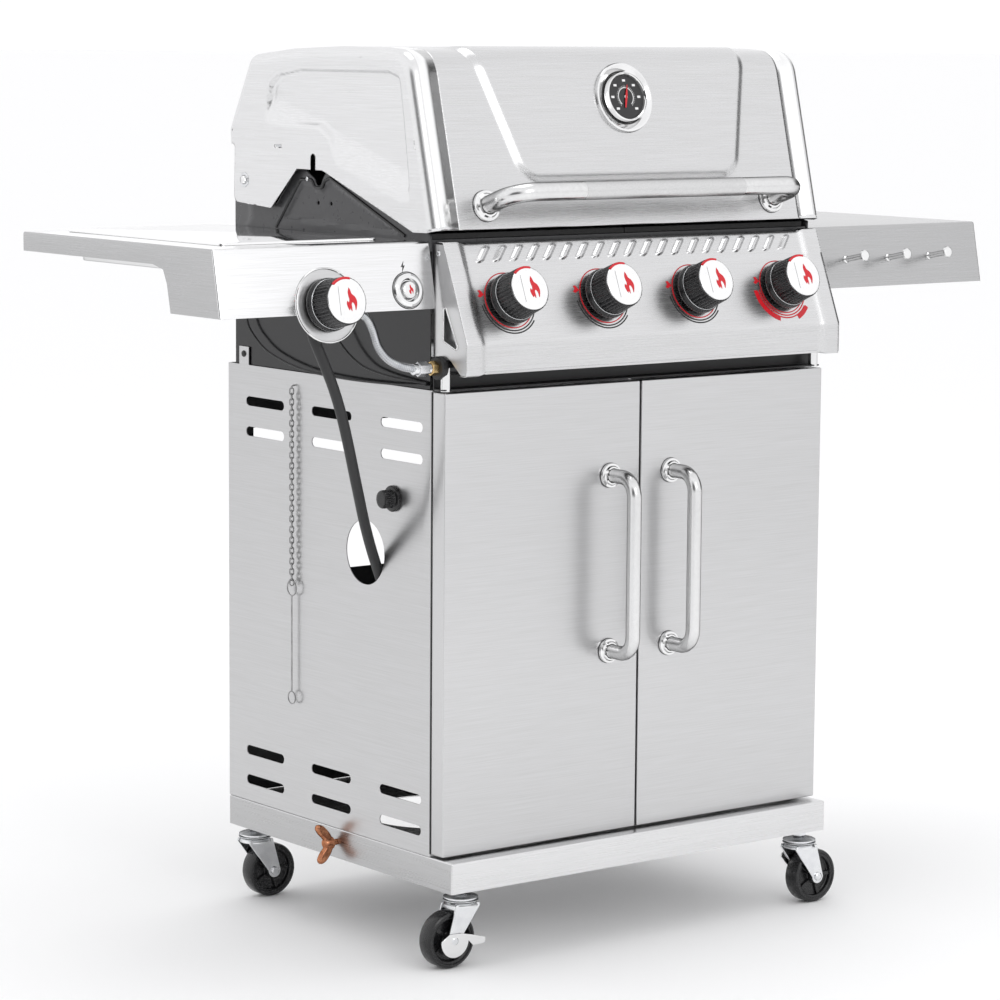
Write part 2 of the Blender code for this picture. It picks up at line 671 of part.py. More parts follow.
def build_control_panel():
    top, fold = PANEL_TOP_EDGE, PANEL_FOLD
    profile = [(top[0] + 0.012, top[1]), top, fold, (fold[0], PANEL_FOOT), (fold[0] + 0.012, PANEL_FOOT)]
    panel = strip("control_panel", profile, "x", -CONTROL_X, CONTROL_X, SHEET, "stainless", 1)
    cheek = [
        (top[0] + 0.0205, top[1] - 0.0004), (top[0] + 0.0004, top[1] - 0.0004), (fold[0] + 0.0004, fold[1]),
        (fold[0] + 0.0004, PANEL_FOOT + 0.0004), (fold[0] + 0.015, PANEL_FOOT + 0.0004),
        (-0.2400, 0.7935), (-0.2052, 0.7935),
    ]
    window = [(-0.2279, 0.8680), (-0.2272, 0.8182), (-0.2580, 0.8060)]
    for sx in (-1, 1):
        low, high = sorted((sx * (CONTROL_X - 0.0016), sx * (CONTROL_X - 0.0004)))
        join(panel, prism(f"cheek_{sx}", [cheek], "x", low, high))
        cut(panel, prism(f"cheek_window_{sx}", [window], "x", low - 0.002, high + 0.002))
    normal = panel_normal(top, fold)
    for number, x in enumerate(BURNER_X, start=1):
        on_panel = Vector((x, slope_y(KNOB_SLOPE_Z), KNOB_SLOPE_Z))
        start = on_panel - normal * 0.01
        cut(panel, cylinder(f"stem_hole_{number}", start, normal, 0.02, STEM_HOLE_R, None, 12))


def slope_y(z):
    """y of the sloping control panel at height z."""
    top, fold = PANEL_TOP_EDGE, PANEL_FOLD
    return top[0] + (fold[0] - top[0]) * (top[1] - z) / (top[1] - fold[1])


def shelf_face_y(z):
    """y of the shelves' sloping front face at height z."""
    share = (SHELF_TOP - z) / (SHELF_TOP - SHELF_FACE_FOOT[1])
    return SHELF_TOP_FRONT + (SHELF_FACE_FOOT[0] - SHELF_TOP_FRONT) * share


def build_manifold():
    """The pipe with its four valves, each pointing at its knob."""
    normal = panel_normal(PANEL_TOP_EDGE, PANEL_FOLD)
    start = (-0.3215, *MANIFOLD)
    pipe = cylinder("gas_manifold", start, (1, 0, 0), 0.585, MANIFOLD_R, "galvanised", 12)
    for number, x in enumerate(BURNER_X, start=1):
        on_panel = Vector((x, slope_y(KNOB_SLOPE_Z), KNOB_SLOPE_Z))
        stem = cylinder(f"stem_{number}", on_panel - normal * 0.030, normal, 0.044, STEM_R, None, 8)
        body = cylinder(f"valve_{number}", on_panel - normal * 0.038, normal, 0.030, 0.010, None, 10)
        riser_top = on_panel - normal * 0.026
        foot = Vector((x, MANIFOLD[0], MANIFOLD[1]))
        riser = cylinder(f"riser_{number}", foot, riser_top - foot, (riser_top - foot).length, 0.006, None, 8)
        join(pipe, riser, body, stem)


def knob_profile():
    """From the face down the ribbed side to the skirt, then up into the stem's socket."""
    return [
        (0.0, KNOB_HEIGHT), (KNOB_R - 0.0015, KNOB_HEIGHT), (KNOB_R, KNOB_HEIGHT - 0.0015),
        (KNOB_R + 0.001, 0.010), (KNOB_SKIRT_R, 0.008), (KNOB_SKIRT_R, 0.002),
        (0.0045, 0.002), (0.0045, 0.018), (0.0, 0.018),
    ]


def build_knobs():
    normal = panel_normal(PANEL_TOP_EDGE, PANEL_FOLD)
    for number, x in enumerate(BURNER_X, start=1):
        face = (x, slope_y(KNOB_SLOPE_Z), KNOB_SLOPE_Z)
        turned(f"knob_{number}", knob_profile(), face, normal, "black_plastic")
    normal = panel_normal((SHELF_TOP_FRONT, SHELF_TOP), SHELF_FACE_FOOT)
    face = Vector((SIDE_KNOB[0], shelf_face_y(SIDE_KNOB[1]), SIDE_KNOB[1])) + normal * 0.0018
    turned("side_burner_knob", knob_profile(), face, normal, "black_plastic")
    face = Vector((IGNITER[0], shelf_face_y(IGNITER[1]), IGNITER[1]))
    profile = [(0.0, 0.0065), (0.0105, 0.0065), (0.0115, 0.0055), (0.0115, -0.006), (0.0, -0.006)]
    turned("igniter_button", profile, face, normal, "polished", 16)


def shelf_outline():
    """Side of a shelf in y, z: a shallow skirt that deepens into the front box."""
    rear = [(SHELF_REAR, SHELF_TOP), (SHELF_REAR, SHELF_SKIRT)]
    step = [(-0.066, SHELF_SKIRT), (-0.090, 0.912), (-0.099, 0.894), (-0.107, SHELF_FACE_FOOT[1])]
    return rear + step + [SHELF_FACE_FOOT, (SHELF_TOP_FRONT, SHELF_TOP)]


def build_shelf(name, sx):
    low, high = sorted((sx * SHELF_IN, sx * SHELF_OUT))
    bm = prism_mesh([shelf_outline()], "x", low, high)

    def keep(normal, centre):
        on_top_or_front = normal.z > 0.5 or normal.y < -0.5
        return on_top_or_front or normal.x * sx > 0.5 or centre.y > SHELF_REAR - EDGE

    shelf = shell(name, bm, keep, SHEET, "stainless")
    normal = panel_normal((SHELF_TOP_FRONT, SHELF_TOP), SHELF_FACE_FOOT)
    if sx < 0:
        add_side_burner_bowl(shelf)
        bezel = Vector((SIDE_KNOB[0], shelf_face_y(SIDE_KNOB[1]), SIDE_KNOB[1]))
        join(shelf, cylinder("bezel_plate", bezel - normal * 0.0005, normal, 0.0015, BEZEL_R, None, 32))
        stem_hole = cylinder("side_stem_hole", bezel - normal * 0.01, normal, 0.02, STEM_HOLE_R, None, 12)
        face = Vector((IGNITER[0], shelf_face_y(IGNITER[1]), IGNITER[1]))
        button_hole = cylinder("button_hole", face - normal * 0.01, normal, 0.02, 0.0119, None, 16)
        cut(cut(shelf, stem_hole), button_hole)
        return
    for number, x in enumerate(HOOK_X, start=1):
        foot = Vector((x, shelf_face_y(HOOK_Z), HOOK_Z)) - normal * 0.0008
        peg = cylinder(f"hook_{number}", foot, normal, 0.0380, 0.0038, None, 10)
        head = cylinder(f"hook_head_{number}", foot + normal * 0.036, normal, 0.0048, 0.0075, None, 12)
        join(shelf, peg, head)


def add_side_burner_bowl(shelf):
    """A pan pressed down from the shelf top: the top is cut open and the pan's walls meet the cut."""
    opening = [rectangle(BOWL_LOW, BOWL_HIGH)]
    cut(shelf, prism("bowl_opening", opening, "z", SHELF_TOP - 0.01, SHELF_TOP + 0.01))
    margin = 0.0006
    low = (BOWL_LOW[0] - margin, BOWL_LOW[1] - margin)
    high = (BOWL_HIGH[0] + margin, BOWL_HIGH[1] + margin)
    bm = prism_mesh([rectangle(low, high)], "z", BOWL_FLOOR, SHELF_TOP - 0.0002)
    join(shelf, shell("bowl_pan", bm, lambda n, c: n.z < 0.5, SHEET, None))
    start = (SIDE_KNOB[0], BOWL_LOW[1] - 0.01, VENTURI_Z)
    cut(shelf, cylinder("venturi_hole", start, (0, 1, 0), 0.02, 0.0075, None, 12))


def build_side_burner():
    x = SIDE_KNOB[0]
    crown = [(0.0, 0.9290), (0.036, 0.9290), (0.040, 0.9250)]
    profile = crown + [(0.040, 0.9190), (0.026, 0.9105), (0.0, 0.9105)]
    head = turned("side_burner", profile, (x, SIDE_BURNER_Y, 0), (0, 0, 1), "brass")
    join(head, cylinder("venturi", (x, -0.160, VENTURI_Z), (0, 1, 0), 0.170, 0.0065, None, 10))
    slotted_plate("side_burner_grate", SIDE_GRATE_LOW, SIDE_GRATE_HIGH, 4, 2, 0.008, "cast_iron")
    bm = prism_mesh([rectangle(LID_LOW, LID_HIGH)], "z", SHELF_TOP + GAP, SHELF_TOP + GAP + LID_HEIGHT)
    lid = shell("side_burner_lid", bm, lambda n, c: n.z > -0.5, 0.001, "polished")
    set_origin(lid, (0, LID_HIGH[1], SHELF_TOP + GAP))


def build_gas_supply():
    normal = panel_normal((SHELF_TOP_FRONT, SHELF_TOP), SHELF_FACE_FOOT)
    on_face = Vector((SIDE_KNOB[0], shelf_face_y(SIDE_KNOB[1]), SIDE_KNOB[1]))
    line = tube("gas_line", smooth_path(LINE_ROUTE, 2), LINE_R, "zinc")
    nut_start = (-0.3620, *MANIFOLD)
    nut = cylinder("line_nut", nut_start, (1, 0, 0), 0.0400, 0.0085, None, 6)
    valve = box("side_valve", SIDE_VALVE_LOW, SIDE_VALVE_HIGH)
    stem = cylinder("side_stem", on_face - normal * 0.022, normal, 0.036, STEM_R, None, 8)
    join(line, nut, valve, stem)
    tube("lp_hose", smooth_path(HOSE_ROUTE, 2), HOSE_R, "rubber")
    x, y = HOSE_ROUTE[-1][:2]
    top = REGULATOR_TOP - GAP
    profile = [
        (0.0, 0.0), (0.0085, 0.0), (0.0085, -0.022), (0.031, -0.030), (0.031, -0.048), (0.012, -0.056),
        (0.012, -0.070), (0.021, -0.072), (0.021, -0.100), (0.0, -0.100),
    ]
    turned("gas_regulator", profile, (x, y, top), (0, 0, 1), "galvanised", 20)


def build_cabinet_details():
    at = (-PANEL_X - GAP, *BATTERY)
    profile = [
        (0.0, 0.0200), (0.0110, 0.0200), (BATTERY_R, 0.0180), (BATTERY_R, 0.0050), (0.0170, 0.0045),
        (0.0170, 0.0), (BATTERY_R, 0.0), (BATTERY_R, -0.030), (0.0, -0.030),
    ]
    turned("battery_cap", profile, at, (-1, 0, 0), "black_plastic", 20)
    head = (-0.3420, *TANK_SCREW)
    screw = cylinder("tank_screw", head, (1, 0, 0), 0.0780, TANK_SCREW_R, "copper", 10)
    wing = [(y, z) for z, y in stadium(TANK_SCREW[::-1], *TANK_WING, 4)]
    join(screw, prism("tank_screw_wing", [wing], "x", -0.3450, -0.3385))
    set_origin(screw, head)


def build_lighting_rod():
    hook = (CHAIN_X, CHAIN_Y, CHAIN_TOP)
    length = CHAIN_TOP - CHAIN_RING - 0.006
    set_origin(cylinder("lighting_chain", hook, (0, 0, -1), length, 0.0020, "zinc", 8), hook)
    ring = (CHAIN_X, CHAIN_Y, CHAIN_RING)
    length = CHAIN_RING - ROD_LOW
    set_origin(cylinder("lighting_rod", ring, (0, 0, -1), length, 0.0015, "zinc", 8), ring)


def arm_outline(axle):
    """A fork arm in x, z: wide at the crown, round about the axle."""
    sweep = circle(axle, 0.0095, 6, math.pi, math.pi)
    return [(0.019, 0.085), (-0.019, 0.085)] + sweep


def build_caster(name, x, y, trail_side):
    axle = (x + trail_side * TRAIL, WHEEL_R)
    fork = cylinder("caster_fork_" + name, (x, y, 0.0800), (0, 0, 1), 0.0080, 0.0240, "zinc", 20)
    stem = cylinder("caster_stem_" + name, (x, y, 0.0850), (0, 0, 1), 0.0202, 0.0050, None, 10)
    outline = [(x + a, b) for a, b in arm_outline((axle[0] - x, axle[1]))]
    arm_in, arm_out = WHEEL_WIDTH / 2 + 0.0020, WHEEL_WIDTH / 2 + 0.0042
    arms = [
        prism(f"fork_arm_{name}_{side}", [outline], "y", *sorted((y + side * arm_in, y + side * arm_out)))
        for side in (-1, 1)
    ]
    bolt = cylinder("axle_" + name, (axle[0], y - 0.0180, axle[1]), (0, 1, 0), 0.0360, AXLE_R, None, 10)
    join(fork, stem, *arms, bolt)
    set_origin(fork, (x, y, 0.0800))
    half, hub = WHEEL_WIDTH / 2, 0.010
    wheel = [
        (0.0038, 0.0135), (hub, 0.0135), (hub + 0.001, 0.0055), (0.0280, 0.0055), (0.0310, half),
        (WHEEL_R - 0.0025, half), (WHEEL_R, half - 0.0035),
    ]
    profile = wheel + [(r, -h) for r, h in reversed(wheel)]
    turned("caster_wheel_" + name, profile, (axle[0], y, axle[1]), (0, 1, 0), "rubber", 28, closed=True)
    if y < 0:
        build_brake_lever(name, axle, y, trail_side)


def build_brake_lever(name, axle, y, side):
    """A pedal plate on the axle's free end, on side 1 or -1. The left one is pressed, the right one is up."""
    near = y + side * (WHEEL_WIDTH / 2 + 0.0046)
    low, high = sorted((near, near + side * 0.0020))
    dish = circle((0, 0), 0.0220, 10, math.pi, math.pi)
    outline = dish + [(0.0480, -0.0050), (0.0480, 0.0030), (0.0120, 0.0100), (-0.0120, 0.0080)]
    raised = math.radians(LEVER_ANGLE_RIGHT if side > 0 else LEVER_ANGLE_LEFT)
    points = []
    for a, b in outline:
        along = a * math.cos(raised) - b * math.sin(raised)
        up = a * math.sin(raised) + b * math.cos(raised)
        points.append((axle[0] - side * along, axle[1] + up))
    lever = prism("brake_lever_" + name, [points], "y", low, high, "zinc")
    bore = (axle[0], low - 0.01, axle[1])
    cut(lever, cylinder("lever_bore_" + name, bore, (0, 1, 0), 0.03, AXLE_R + 0.0003, None, 10))
    set_origin(lever, (axle[0], y, axle[1]))


def centre_on_bounding_box():
    """Slides the whole grill along Y until its bounding box is centred on the origin."""
    bpy.context.view_layer.update()
    graph = bpy.context.evaluated_depsgraph_get()
    ys = []
    for obj in bpy.data.collections[PARTS].objects:
        if obj.type == "MESH" and obj.name not in ("lp_hose", "gas_regulator"):
            evaluated = obj.evaluated_get(graph)
            ys += [(evaluated.matrix_world @ vert.co).y for vert in evaluated.data.vertices]
    shift = -(min(ys) + max(ys)) / 2
    for obj in bpy.data.objects:
        if obj.parent is None:
            obj.location.y += shift


def main():
    for obj in list(bpy.data.objects):
        bpy.data.objects.remove(obj)
    new_collection(PARTS)
    new_collection(CUTTERS)
    build_base_tray()
    build_side_panel("side_panel_left", -1)
    build_side_panel("side_panel_right", 1)
    build_rear_panel()
    build_front_crossbar()
    build_door("door_left", -1)
    build_door("door_right", 1)
    build_firebox()
    build_firebox_plate("firebox_plate_left", -1)
    build_firebox_plate("firebox_plate_right", 1)
    build_burners()
    build_grates()
    build_grease_parts()
    build_hood()
    build_control_panel()
    build_manifold()
    build_knobs()
    build_shelf("shelf_left", -1)
    build_shelf("shelf_right", 1)
    build_side_burner()
    build_gas_supply()
    build_cabinet_details()
    build_lighting_rod()
    for name, place in CASTERS.items():
        build_caster(name, *place)
    centre_on_bounding_box()


main()
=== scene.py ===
"""Looks of the four-burner gas barbecue grill: finished sheet metal, knobs, cords, casters and studio.

Every size is in metres. Shapes are written in the base tray's frame, where y = 0 is the middle of the tray,
and seat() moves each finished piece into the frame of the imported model.
"""

import math

import bmesh
import bpy
import numpy as np
from mathutils import Matrix, Vector
from mathutils.geometry import delaunay_2d_cdt


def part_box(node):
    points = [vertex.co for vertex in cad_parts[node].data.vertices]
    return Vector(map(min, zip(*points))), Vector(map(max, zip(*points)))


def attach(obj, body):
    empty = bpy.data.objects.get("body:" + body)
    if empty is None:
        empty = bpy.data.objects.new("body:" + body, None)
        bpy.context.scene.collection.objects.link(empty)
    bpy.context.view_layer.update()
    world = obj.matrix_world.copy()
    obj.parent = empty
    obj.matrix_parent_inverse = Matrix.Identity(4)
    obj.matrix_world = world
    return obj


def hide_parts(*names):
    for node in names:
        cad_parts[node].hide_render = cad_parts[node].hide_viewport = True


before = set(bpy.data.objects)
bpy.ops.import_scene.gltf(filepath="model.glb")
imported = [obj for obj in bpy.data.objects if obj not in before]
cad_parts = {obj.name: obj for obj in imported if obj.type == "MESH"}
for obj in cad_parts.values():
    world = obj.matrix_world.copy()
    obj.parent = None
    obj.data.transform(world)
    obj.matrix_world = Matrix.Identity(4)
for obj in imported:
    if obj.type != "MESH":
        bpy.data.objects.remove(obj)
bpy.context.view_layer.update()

TRAY_LOW, TRAY_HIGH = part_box("base_tray")
SHIFT = Vector((0, (TRAY_LOW[1] + TRAY_HIGH[1]) / 2, 0))
TAU = 2 * math.pi
UP, SIDE = Vector((0, 0, 1)), Vector((1, 0, 0))
SIDES = ((-1, "left"), (1, "right"))
SIDE_WORD = dict(SIDES)

# Faces that carry controls, as (y, z) points of their top edge and their foot
PANEL_TOP, PANEL_FOLD = (-0.2257, 0.9429), (-0.277, 0.8169)
SHELF_TOP, SHELF_FOOT = (-0.2015, 0.9427), (-0.2185, 0.8584)
BURNER_X = (-0.2335, -0.0785, 0.0785, 0.2335)
KNOB_Z = 0.869
SIDE_KNOB_X = -0.4915
IGNITER = (-0.3647, 0.8828)

# Hood
HOOD_X, HOOD_BAND_X, HOOD_SHEET = 0.3322, 0.2913, 0.0015
HOOD_FOOT = (-0.2229, 0.9571)
HINGE = (0.208, 1.006)
HANDLE_Z, HANDLE_X, HANDLE_OUT = 0.986, 0.2435, 0.064
GAUGE = (0.0055, 1.1205)

# Cabinet: outer face of the side panels, top of the chain on the left one, tank screw's head, caster wheels
SIDE_X = 0.3253
CHAIN_X, CHAIN_Y, CHAIN_TOP = -0.3315, 0.0955, 0.731
TANK_SCREW = (-0.342, -0.002, 0.127)
WHEEL_R = 0.0375

# The hose's route, from the side burner's valve to the regulator, as in the CAD model
HOSE_ROUTE = [
    (-0.4915, -0.185, 0.844), (-0.4905, -0.1855, 0.829), (-0.483, -0.186, 0.812),
    (-0.469, -0.183, 0.787), (-0.453, -0.177, 0.76), (-0.437, -0.171, 0.726),
    (-0.423, -0.165, 0.69), (-0.409, -0.157, 0.655), (-0.393, -0.146, 0.62),
    (-0.373, -0.13, 0.583), (-0.35, -0.112, 0.546), (-0.3253, -0.0945, 0.509),
    (-0.304, -0.083, 0.472), (-0.289, -0.077, 0.433), (-0.282, -0.075, 0.393),
    (-0.28, -0.075, 0.35),
]
HOSE_R = 0.007


# ---------------------------------------------------------------- materials

def new_material(name, colour, metallic, roughness, **extra):
    made = bpy.data.materials.new(name)
    made.use_nodes = True
    shader = made.node_tree.nodes["Principled BSDF"]
    shader.inputs["Base Color"].default_value = (*colour, 1.0)
    shader.inputs["Metallic"].default_value = metallic
    shader.inputs["Roughness"].default_value = roughness
    for socket, value in extra.items():
        shader.inputs[socket.replace("_", " ")].default_value = value
    return made


def add_noise(made, stretch, scale, roughness=None, colours=None, bump=0.0, distance=0.0005, detail=4.0):
    """Noise in object space drives roughness, colour and bump. stretch makes it a grain along an axis."""
    tree = made.node_tree
    nodes, links = tree.nodes, tree.links
    shader = nodes["Principled BSDF"]
    place = nodes.new("ShaderNodeTexCoord")
    mapping = nodes.new("ShaderNodeMapping")
    mapping.inputs["Scale"].default_value = stretch
    noise = nodes.new("ShaderNodeTexNoise")
    noise.inputs["Scale"].default_value = scale
    noise.inputs["Detail"].default_value = detail
    links.new(place.outputs["Object"], mapping.inputs["Vector"])
    links.new(mapping.outputs["Vector"], noise.inputs["Vector"])
    if roughness:
        spread = nodes.new("ShaderNodeMapRange")
        spread.inputs["To Min"].default_value, spread.inputs["To Max"].default_value = roughness
        links.new(noise.outputs["Fac"], spread.inputs["Value"])
        links.new(spread.outputs["Result"], shader.inputs["Roughness"])
    if colours:
        ramp = nodes.new("ShaderNodeValToRGB")
        ramp.color_ramp.elements[0].position, ramp.color_ramp.elements[1].position = 0.3, 0.7
        for element, colour in zip(ramp.color_ramp.elements, colours):
            element.color = (*colour, 1.0)
        links.new(noise.outputs["Fac"], ramp.inputs["Fac"])
        links.new(ramp.outputs["Color"], shader.inputs["Base Color"])
    if bump:
        raised = nodes.new("ShaderNodeBump")
        raised.inputs["Strength"].default_value = bump
        raised.inputs["Distance"].default_value = distance
        links.new(noise.outputs["Fac"], raised.inputs["Height"])
        links.new(raised.outputs["Normal"], shader.inputs["Normal"])
    return made


def brushed(name, tone, roughness, along, bump=0.06, edge=0.9):
    """Brushed stainless steel with its grain along one axis: x, y or z."""
    stretch = {"x": (0.6, 60, 60), "y": (60, 0.6, 60), "z": (60, 60, 0.6)}[along]
    made = new_material(name, (tone, tone, tone * 1.01), 1.0, roughness,
                        Specular_Tint=(edge, edge, edge, 1))
    shades = ((tone * 0.94,) * 3, (tone * 1.04, tone * 1.04, tone * 1.05))
    return add_noise(made, stretch, 22, (roughness - 0.05, roughness + 0.06), shades, bump, 0.0002)


def finish(name, colour, metallic, roughness, spread, scale, tones=None, bump=0.0, distance=0.0005,
           **extra):
    """A material whose roughness, and tone where tones are given, vary with an even noise."""
    if tones and isinstance(tones[0], float):
        tones = [(tone,) * 3 for tone in tones]
    made = new_material(name, colour, metallic, roughness, **extra)
    return add_noise(made, (1, 1, 1), scale, spread, tones, bump, distance)


# Name, tone, roughness and direction of the grain, then bump and edge tint where they differ from the usual
BRUSHED = {
    "steel_x": ("brushed_steel_along_x", 0.62, 0.3, "x"),
    "steel_y": ("brushed_steel_along_y", 0.58, 0.3, "y"),
    "steel_z": ("brushed_steel_along_z", 0.66, 0.3, "z"),
    "hood": ("hood_steel", 0.66, 0.27, "x", 0.05, 1.0),
    # The shelf steels are lit and shaded copies of one steel: the left shelf's front is a lighter copy
    # (painted highlight), its ends and the whole right shelf are darker copies (painted shade).
    "hood_end": ("hood_end_steel", 0.78, 0.25, "y", 0.02),
    "shelf_face_painted_highlight": ("front_of_shelf_painted_highlight_steel", 0.84, 0.24, "x", 0.03),
    "shelf_ends_painted_shade": ("ends_of_shelf_painted_shade_steel", 0.5, 0.26, "y", 0.03),
    "shelf_right": ("right_shelf_painted_shade_steel", 0.49, 0.26, "x", 0.03, 1.0),
    # The tray's ends take a darker copy of the tray steel: painted shade.
    "tray_front": ("tray_front_steel", 0.72, 0.28, "x", 0.04),
    "tray_ends_painted_shade": ("ends_of_tray_painted_shade_steel", 0.5, 0.28, "y", 0.04),
    "panel": ("panel_steel", 0.68, 0.27, "x", 0.03),
}

# Name, colour, metallic, roughness, its spread, grain size, tones, bump and the bump's distance
EVEN = {
    # A brighter copy of the hood steel for the band of the hood's ends: a painted highlight.
    "hood_band": ("hood_band_steel", (0.93, 0.93, 0.94), 1.0, 0.2, (0.17, 0.24), 30, (0.91, 0.95), 0.01,
                  0.0002),
    "shelf_top": ("polished_shelf_top", (0.93, 0.93, 0.94), 1.0, 0.07, (0.05, 0.09), 6, (0.91, 0.95), 0.01,
                  0.0003),
    "dark_steel": ("dark_steel_wire", (0.34, 0.34, 0.35), 1.0, 0.3, (0.24, 0.38), 90, (0.28, 0.42)),
    # Near-black inner side of the hood and its ends: painted shade for the dark seen inside the hood's gaps
    # and slot.
    "inside": ("hood_inside", (0.05, 0.05, 0.052), 0.0, 0.55, (0.48, 0.65), 40, (0.035, 0.06)),
    "knob_face": ("knob_face_metal", (0.92, 0.92, 0.93), 1.0, 0.2, (0.16, 0.26), 90, (0.9, 0.95)),
    "galvanised": ("galvanised_steel", (0.55, 0.56, 0.57), 1.0, 0.38, (0.3, 0.48), 45,
                   ((0.48, 0.49, 0.5), (0.62, 0.63, 0.64)), 0.1, 0.0003),
    "enamel": ("grey_enamel", (0.06, 0.06, 0.063), 0.0, 0.3, (0.24, 0.34), 120,
               ((0.056, 0.056, 0.059), (0.066, 0.066, 0.069)), 0.03, 0.0002),
    "black_gloss": ("black_enamel", (0.007, 0.007, 0.008), 0.0, 0.2, (0.14, 0.22), 60, None, 0.02, 0.0002),
    "black_paint": ("black_powder_coat", (0.012, 0.012, 0.013), 0.0, 0.42, (0.34, 0.52), 400, None, 0.25,
                    0.0002),
    "plastic": ("black_plastic", (0.008, 0.008, 0.009), 0.0, 0.28, (0.22, 0.34), 500, None, 0.06, 0.0001),
    "rubber": ("black_rubber", (0.018, 0.018, 0.019), 0.0, 0.5, (0.42, 0.58), 300, None, 0.2, 0.0002),
    "iron": ("cast_iron", (0.03, 0.03, 0.03), 0.2, 0.6, (0.5, 0.75), 250, (0.022, 0.042), 0.5, 0.0004),
    "brass": ("brass", (0.78, 0.56, 0.26), 1.0, 0.24, (0.18, 0.32), 80,
              ((0.72, 0.5, 0.22), (0.83, 0.61, 0.3)), 0.06, 0.0002),
    "red": ("red_ink", (0.62, 0.008, 0.018), 0.0, 0.35, (0.3, 0.42), 200),
    "ink": ("black_ink", (0.015, 0.015, 0.015), 0.0, 0.4, (0.35, 0.5), 200),
    "white": ("white_print", (0.85, 0.85, 0.85), 0.0, 0.4, (0.35, 0.5), 200),
    "dial": ("dial_black", (0.02, 0.02, 0.021), 0.0, 0.3, (0.25, 0.38), 200),
}

# The same for bright round pieces, which turn dark towards their edges
DARK_EDGED = {
    "tube": ("satin_tube_steel", (0.74, 0.74, 0.75), 1.0, 0.2, (0.16, 0.26), 180, (0.72, 0.78), 0.03,
             0.0002),
    "grip": ("blasted_grip", (0.66, 0.66, 0.67), 1.0, 0.3, (0.24, 0.4), 700, (0.6, 0.74), 0.5, 0.0003),
    "mirror": ("polished_steel", (0.84, 0.84, 0.85), 1.0, 0.09, (0.06, 0.12), 8, (0.82, 0.87), 0.02,
               0.0004),
    "zinc": ("zinc_plate", (0.8, 0.81, 0.83), 1.0, 0.2, (0.14, 0.3), 70,
             ((0.74, 0.75, 0.77), (0.86, 0.87, 0.88)), 0.08, 0.0003),
    "copper": ("copper_plate", (0.45, 0.19, 0.1), 1.0, 0.25, (0.16, 0.36), 160,
               ((0.3, 0.11, 0.06), (0.62, 0.28, 0.15)), 0.3, 0.0006),
}
DARK_EDGE = (0.12, 0.12, 0.12, 1.0)

LOOK = {look: brushed(*row) for look, row in BRUSHED.items()}
LOOK.update({look: finish(*row) for look, row in EVEN.items()})
LOOK.update({look: finish(*row, Specular_Tint=DARK_EDGE) for look, row in DARK_EDGED.items()})


# ---------------------------------------------------------------- tools

def link(obj):
    bpy.context.scene.collection.objects.link(obj)
    return obj


def seat(obj, look, body, stands_for=(), inner=None):
    """Gives a finished piece its material, moves it into the model's frame and puts it on its body.
    inner is the look of the second side of a sheet that is thickened by a modifier."""
    obj.data.materials.clear()
    obj.data.materials.append(LOOK[look])
    if inner:
        obj.data.materials.append(LOOK[inner])
        obj.modifiers["sheet"].material_offset = 1
    obj.matrix_world = Matrix.Translation(SHIFT) @ obj.matrix_world
    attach(obj, body)
    if stands_for:
        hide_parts(*stands_for)
    return obj


def shade(obj, angle=35):
    obj.data.shade_smooth()
    obj.data.set_sharp_from_angle(angle=math.radians(angle))
    return obj


def mesh_object(name, bm, angle=35):
    bmesh.ops.recalc_face_normals(bm, faces=bm.faces)
    mesh = bpy.data.meshes.new(name)
    bm.to_mesh(mesh)
    bm.free()
    return shade(link(bpy.data.objects.new(name, mesh)), angle)


def applied(obj, angle=35):
    """The object with its modifiers made real."""
    bpy.context.view_layer.update()
    evaluated = obj.evaluated_get(bpy.context.evaluated_depsgraph_get())
    mesh = bpy.data.meshes.new_from_object(evaluated)
    obj.modifiers.clear()
    obj.data = mesh
    return shade(obj, angle)


def basis(origin, right, up):
    """A frame whose x is right, y is up and z is their normal."""
    right, up = Vector(right).normalized(), Vector(up).normalized()
    out = right.cross(up)
    turn = Matrix((right, up, out)).transposed().to_4x4()
    return Matrix.Translation(Vector(origin)) @ turn


def along(origin, direction):
    """A frame at origin whose z points along direction."""
    turn = UP.rotation_difference(Vector(direction)).to_matrix().to_4x4()
    return Matrix.Translation(Vector(origin)) @ turn


def arc(centre, radius, start, end, steps):
    """Points on an arc from start to end, in degrees."""
    angles = [math.radians(start + (end - start) * i / steps) for i in range(steps + 1)]
    return [(centre[0] + radius * math.cos(a), centre[1] + radius * math.sin(a)) for a in angles]


def circle(centre, radius, count):
    return arc(centre, radius, 0, 360 - 360 / count, count - 1)


def rectangle(low_a, low_b, high_a, high_b):
    return [(low_a, low_b), (high_a, low_b), (high_a, high_b), (low_a, high_b)]


def own_box(node):
    """A node's two corners in the base tray's frame."""
    return [Vector(corner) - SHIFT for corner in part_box(node)]


def ring_arc(radius, width, start, end, steps=32):
    """The outline of a band of that width along an arc."""
    outer = arc((0, 0), radius + width / 2, start, end, steps)
    return outer + arc((0, 0), radius - width / 2, end, start, steps)


def rounded(points, radius, steps=8):
    """The polyline through points with its inner corners turned into arcs."""
    points = [Vector(p) for p in points]
    path = [points[0]]
    for before, corner, after in zip(points, points[1:], points[2:]):
        first, second = (before - corner).normalized(), (after - corner).normalized()
        half = first.angle(second) / 2
        reach = min(radius / math.tan(half), 0.49 * (before - corner).length,
                    0.49 * (after - corner).length)
        bend = reach * math.tan(half)
        centre = corner + (first + second).normalized() * bend / math.sin(half)
        start, end = corner + first * reach - centre, corner + second * reach - centre
        path += [centre + start.slerp(end, i / steps).normalized() * bend for i in range(steps + 1)]
    return path + [points[-1]]


